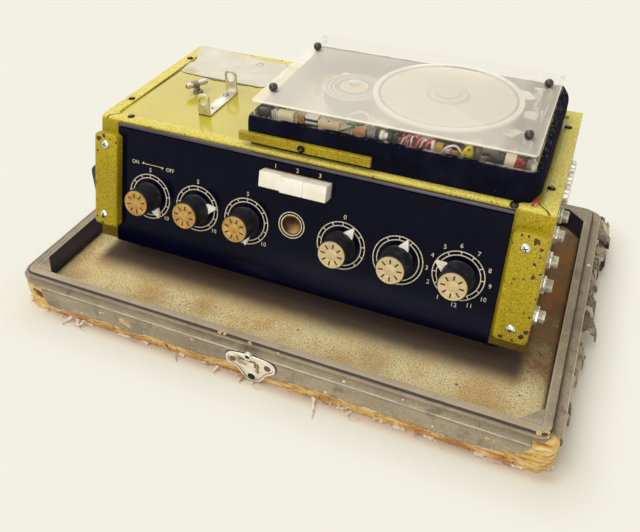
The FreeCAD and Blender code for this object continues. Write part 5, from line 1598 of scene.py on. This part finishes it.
tints = {"black": (16, 15, 20), "tan": (238, 210, 166), "red": (176, 24, 44),
         "white": (252, 248, 236), "green": (16, 110, 74), "gold": (206, 158, 62),
         "yellow": (228, 208, 24), "brown": (92, 62, 44), "pink": (226, 150, 150),
         "copper": (206, 140, 84), "grey": (128, 126, 122), "cream": (248, 232, 194)}
wiring = {
    "seed": 21, "deck": 139.6, "bundle": 13, "loops": 26,
    # what shows through the front of the cover, as left, right, top and tint
    "boards": [(-46, -36, 171.5, "black"), (-29.5, -15.5, 173, "cream"), (5.5, 23, 172, "tan"),
               (23.5, 31.5, 168.5, "tan"), (33.5, 44.5, 171, "copper"), (66, 69.5, 172, "black"),
               (95.5, 98, 173.5, "white"), (98.2, 104.5, 171.5, "gold"),
               (128, 132, 173, "brown"), (140.5, 148.5, 171, "black"),
               (149.5, 157.5, 174, "cream"), (165, 168.5, 172, "grey")],
    # upright tags between the heads at the right: place, size, height and tint
    "tags": [(154, 106, 9, 166, "white"), (165, 108, 5, 163, "black"), (151, 76, 8, 167, "copper"),
             (162, 88, 6, 168, "white"), (156, 58, 8, 165, "white"), (162, 44, 5, 166, "red"),
             (155, 22, 9, 166, "white"), (164, 32, 4, 164, "black"), (146, 4, 8, 163, "copper"),
             (160, 4, 6, 165, "white"), (136, -8, 7, 160, "grey"), (118, 108, 8, 157, "grey"),
             (141, 105, 7, 162, "cream"), (36, -8, 9, 160, "tan"), (62, -16, 8, 158, "white")],
    # blocks as low and high corner, bevel and tint; the last two are the tab by the corner
    "blocks": [((-14, -29, 139.6), (-5.5, -25, 170), 0.7, "brown"),
               ((50, -31, 139.6), (61, -28, 164.5), 0.5, "brown"),
               ((70, -27, 139.6), (94, -22, 165), 1.0, "white"),
               ((174.4, -40.8, 142.65), (176.8, -36.6, 147), 0.5, "red"),
               ((176.0, -41.2, 142.65), (177.4, -38, 145.4), 0.4, "pink")],
    "coils": [(107.5, 2.6, "white"), (113, 3.2, "copper"), (134.5, 3.0, "grey"),
              (137.5, 2.2, "brown")],
    # single wires as thickness, tint and points; the last lies beside the idler
    "wires": [(0.8, "green", [(20, -33, 164), (26, -33, 168), (33, -33, 171.4),
                              (36, -32.6, 173.2), (31, -32, 174.4), (29, -29, 172)]),
              (0.8, "white", [(104, -32, 166), (108, -33, 172), (114, -32, 173.5),
                              (118.5, -31, 168)]),
              (1.4, "yellow", [(119, -32, 164), (121.5, -32.5, 173), (124.5, -31, 174.5),
                               (126, -29, 166)]),
              (1.4, "red", [(157, -32, 163), (159, -32, 172.5), (162, -31, 169),
                            (164.5, -29, 162)]),
              (1.0, "red", [(159, -32, 164), (162.5, -32, 171), (165, -28, 167)]),
              (0.8, "white", [(14, 14, 146), (12, 20, 152), (20, 27, 154), (28, 24, 153),
                              (30, 16, 150), (24, 8, 146)])],
    # a part that lies across, between dark ends
    "roll": [(0.2, -10), (3.2, -10), (3.2, -8.4), (4.4, -8.2), (4.4, -3), (3.4, -2.6), (3.4, 0),
             (4.2, 0.4), (4.2, 3.2), (2.8, 3.6), (2.8, 6.4), (3.8, 6.6), (3.8, 9.6), (0.2, 10)],
    "rollPlace": (55.5, -29.5, 168.5), "flangeScrew": (162.6, -43.4, 0)}


def deckWiring():
    names = list(tints)
    finishes = [moulded("wiring" + name.capitalize(), tints[name], 0.35, dust=0.1)
                for name in names]
    tint = {name: index for index, name in enumerate(names)}
    bm = bmesh.new()

    def wire(points, radius, name):
        tube(bm, curved(points, 5), radius, 7, tint[name])

    deck = wiring["deck"]
    for left, right, top, name in wiring["boards"]:
        boxAt(bm, (left, -32.5, deck), (right, -27, top), 0.7, tint[name])
    for low, high, bevel, name in wiring["blocks"]:
        boxAt(bm, low, high, bevel, tint[name])
    for pin in range(3):
        turnedShape(bm, [(0.1, deck), (0.55, deck), (0.55, 172 + pin), (0.1, 172.2 + pin)],
                    (-34.2 + 1.7 * pin, -31, 0), 10, tint["white"])
    # a chain of links, a striped plug and a dark dot on the tan board
    for link in range(4):
        x = -13.5 + 2.3 * link
        loop = [(x + 1.8 * math.cos(k / 9 * math.tau), -31.5 + link % 2,
                 169.5 + 3.2 * math.sin(k / 9 * math.tau)) for k in range(10)]
        tube(bm, loop, 0.55, 6, tint["gold"])
    for level in range(4):
        boxAt(bm, (-5.5, -32, 165 + 2.1 * level), (5, -25, 166.9 + 2.1 * level), 0.3,
              tint[("black", "white")[level % 2]])
    ring(bm, 0.1, 0.9, 171.8, 172.2, (14, -31, 0), 16, tint["black"])
    for radius, name, points in wiring["wires"]:
        wire(points, radius, name)
    roll = turnedShape(bm, wiring["roll"], steps=32, index=tint["grey"])
    for face in roll:
        along = face.calc_center_median().z
        if -3 < along < 0.3 or along > 6.5:
            face.material_index = tint["black"]
        elif along > 0:
            face.material_index = tint["white"]
    lying = Matrix.Translation(wiring["rollPlace"]) @ Matrix.Rotation(math.pi / 2, 4, "Y")
    moved(bm, roll, lying)
    # the red and white bundle
    draw = random.Random(wiring["seed"])
    for loop in range(wiring["bundle"]):
        x = 70 + 1.9 * loop
        name = ("red", "white", "red", "pink")[loop % 4]
        wire([(x, -31, 164 + draw.uniform(-2, 1)),
              (x + draw.uniform(1, 5), -32 + draw.uniform(0, 3), 173 + draw.uniform(-2, 1)),
              (x + draw.uniform(3, 8), -28, 168 + draw.uniform(-3, 4)),
              (x + draw.uniform(-3, 6), -25, 160)], 0.85, name)
    # coils with dark caps
    for x, radius, name in wiring["coils"]:
        turnedShape(bm, [(0.2, deck), (radius, deck), (radius, 169), (radius - 0.8, 169.8),
                         (0.2, 169.8)], (x, -30, 0), 24, tint[name])
        turnedShape(bm, [(0.2, 169.6), (radius - 1, 169.6), (radius - 1, 172), (0.2, 172.2)],
                    (x, -30, 0), 20, tint["black"])
    turnedShape(bm, [(0.2, deck), (3.4, deck), (3.4, 168.5), (0.2, 169)], (123.5, -29.5, 0), 20,
                tint["yellow"])
    for x, y, size, top, name in wiring["tags"]:
        boxAt(bm, (x - size / 2, y - 1.2, deck), (x + size / 2, y + 1.2, top), 0.5, tint[name])
        boxAt(bm, (x - size / 2 - 0.6, y - 3, top - 3), (x - size / 4, y + 3, top - 1.2), 0.3,
              tint["grey"])
    for loop in range(wiring["loops"]):
        y = draw.uniform(-14, 104)
        x = draw.uniform(151.5, 164)
        name = ("white", "pink", "white", "red", "cream")[loop % 5]
        wire([(x, y, 152), (x + draw.uniform(-4, 4), y + draw.uniform(2, 7), 167),
              (x + draw.uniform(-5, 5), y + draw.uniform(4, 12), 161),
              (x + draw.uniform(-4, 4), y + draw.uniform(8, 16), 150)], 0.75, name)
    newPiece("deck_wiring", "unit", bm, finishes, smooth=35)

    bm = bmesh.new()
    turnedShape(bm, [(0.2, 141.4), (3.3, 141.4), (3.3, 142.6), (2.6, 143.9), (1.2, 144.5),
                     (0.2, 144.6)], wiring["flangeScrew"], 32, tint["black"])
    newPiece("flange_screw_head", "unit", bm, finishes)


dress("deck_plate", deckFinish())
drumAlloy = drumFinish()
dress("echo_drum", drumAlloy)
drumDetail(drumAlloy)
idlerWheel()
deckWiring()
print("deck finished")


# floor, light and camera

studio = {"floor": (243, 241, 228), "size": 6.0, "world": 0.43,
          "sky": (1.0, 0.955, 0.87, 1), "shadowReach": (3, 46),
          "lamps": [("keyLamp", (-0.9, -0.6, 2.5), 2.4, 37, (0.98, 0.99, 1.0)),
                    ("backLamp", (-0.9, 2.2, 1.75), 2.2, 16, (1.0, 0.99, 0.97)),
                    ("frontLamp", (0.5, -2.6, 1.1), 2.2, 18, (1.0, 0.98, 0.95))],
          "place": (198.72, -490.89, 436.86), "azimuth": 22.626, "elevation": 34.283,
          "roll": 0.234, "lens": 40.842, "shiftY": -0.1032}


def groundFinish():
    # plain paper near the case, so that it keeps the shadow, and evenly bright further out
    ground = Finish("paleGround")
    x, y, height = ground.axes()
    beyond = 0 - fromEdge(ground, 0, 11)
    away = beyond.between(*studio["shadowReach"])
    # a warm painted shadow on the floor in front, right by the case
    stainAndShadow = beyond.between(13, 0) ** 2 * y.between(-140, -152) * x.between(-225, -170)
    ground.base(ground.noise(3, 2), (240, 238, 225), studio["floor"])
    ground.lay((stainAndShadow * 0.5, 196, 160, 130))
    glow = ground.add("Emission", {}, {"Color": srgb(*studio["floor"]), "Strength": 1.0})
    shares = {0: ground.seenRays() * away * 0.97, 1: ground.skin(0.9), 2: glow}
    return ground.show(ground.add("MixShader", {}, shares))


def buildFloor():
    bm = bmesh.new()
    bmesh.ops.create_grid(bm, x_segments=2, y_segments=2, size=studio["size"] / 2)
    mesh = bpy.data.meshes.new("studioFloor")
    bm.to_mesh(mesh)
    bm.free()
    mesh.materials.append(groundFinish())
    newObject("studioFloor", mesh)


def buildWorld():
    sky = Finish("studioWorld", world=True)
    light = sky.add("Background", {}, {"Color": studio["sky"], "Strength": studio["world"]})
    backdrop = sky.add("Background", {}, {"Color": srgb(*studio["floor"])})
    shares = {0: sky.seenRays(), 1: light, 2: backdrop}
    bpy.context.scene.world = sky.show(sky.add("MixShader", {}, shares))


def placeLamps():
    for name, place, size, power, colour in studio["lamps"]:
        lamp = bpy.data.lights.new(name, "AREA")
        lamp.shape, lamp.size = "SQUARE", size
        lamp.energy, lamp.color = power, colour
        holder = newObject(name, lamp)
        holder.location = place
        aim = Vector((0, 0, 0.05)) - Vector(place)
        holder.rotation_euler = aim.to_track_quat("-Z", "Y").to_euler()


def placeCamera():
    camera = bpy.data.cameras.new("camera")
    camera.lens, camera.shift_y = studio["lens"], studio["shiftY"]
    camera.clip_start = 0.01
    holder = newObject("camera", camera)
    azimuth, elevation = math.radians(studio["azimuth"]), math.radians(studio["elevation"])
    forward = Vector((-math.sin(azimuth) * math.cos(elevation),
                      math.cos(azimuth) * math.cos(elevation), -math.sin(elevation)))
    level = forward.to_track_quat("-Z", "Y").to_matrix().to_4x4()
    roll = Matrix.Rotation(math.radians(studio["roll"]), 4, "Z")
    place = Matrix.Translation(Vector(studio["place"]) * mm)
    holder.matrix_world = place @ level @ roll
    bpy.context.scene.camera = holder


buildFloor()
buildWorld()
placeLamps()
placeCamera()
bpy.context.scene.view_settings.view_transform = "Standard"
print("studio ready")
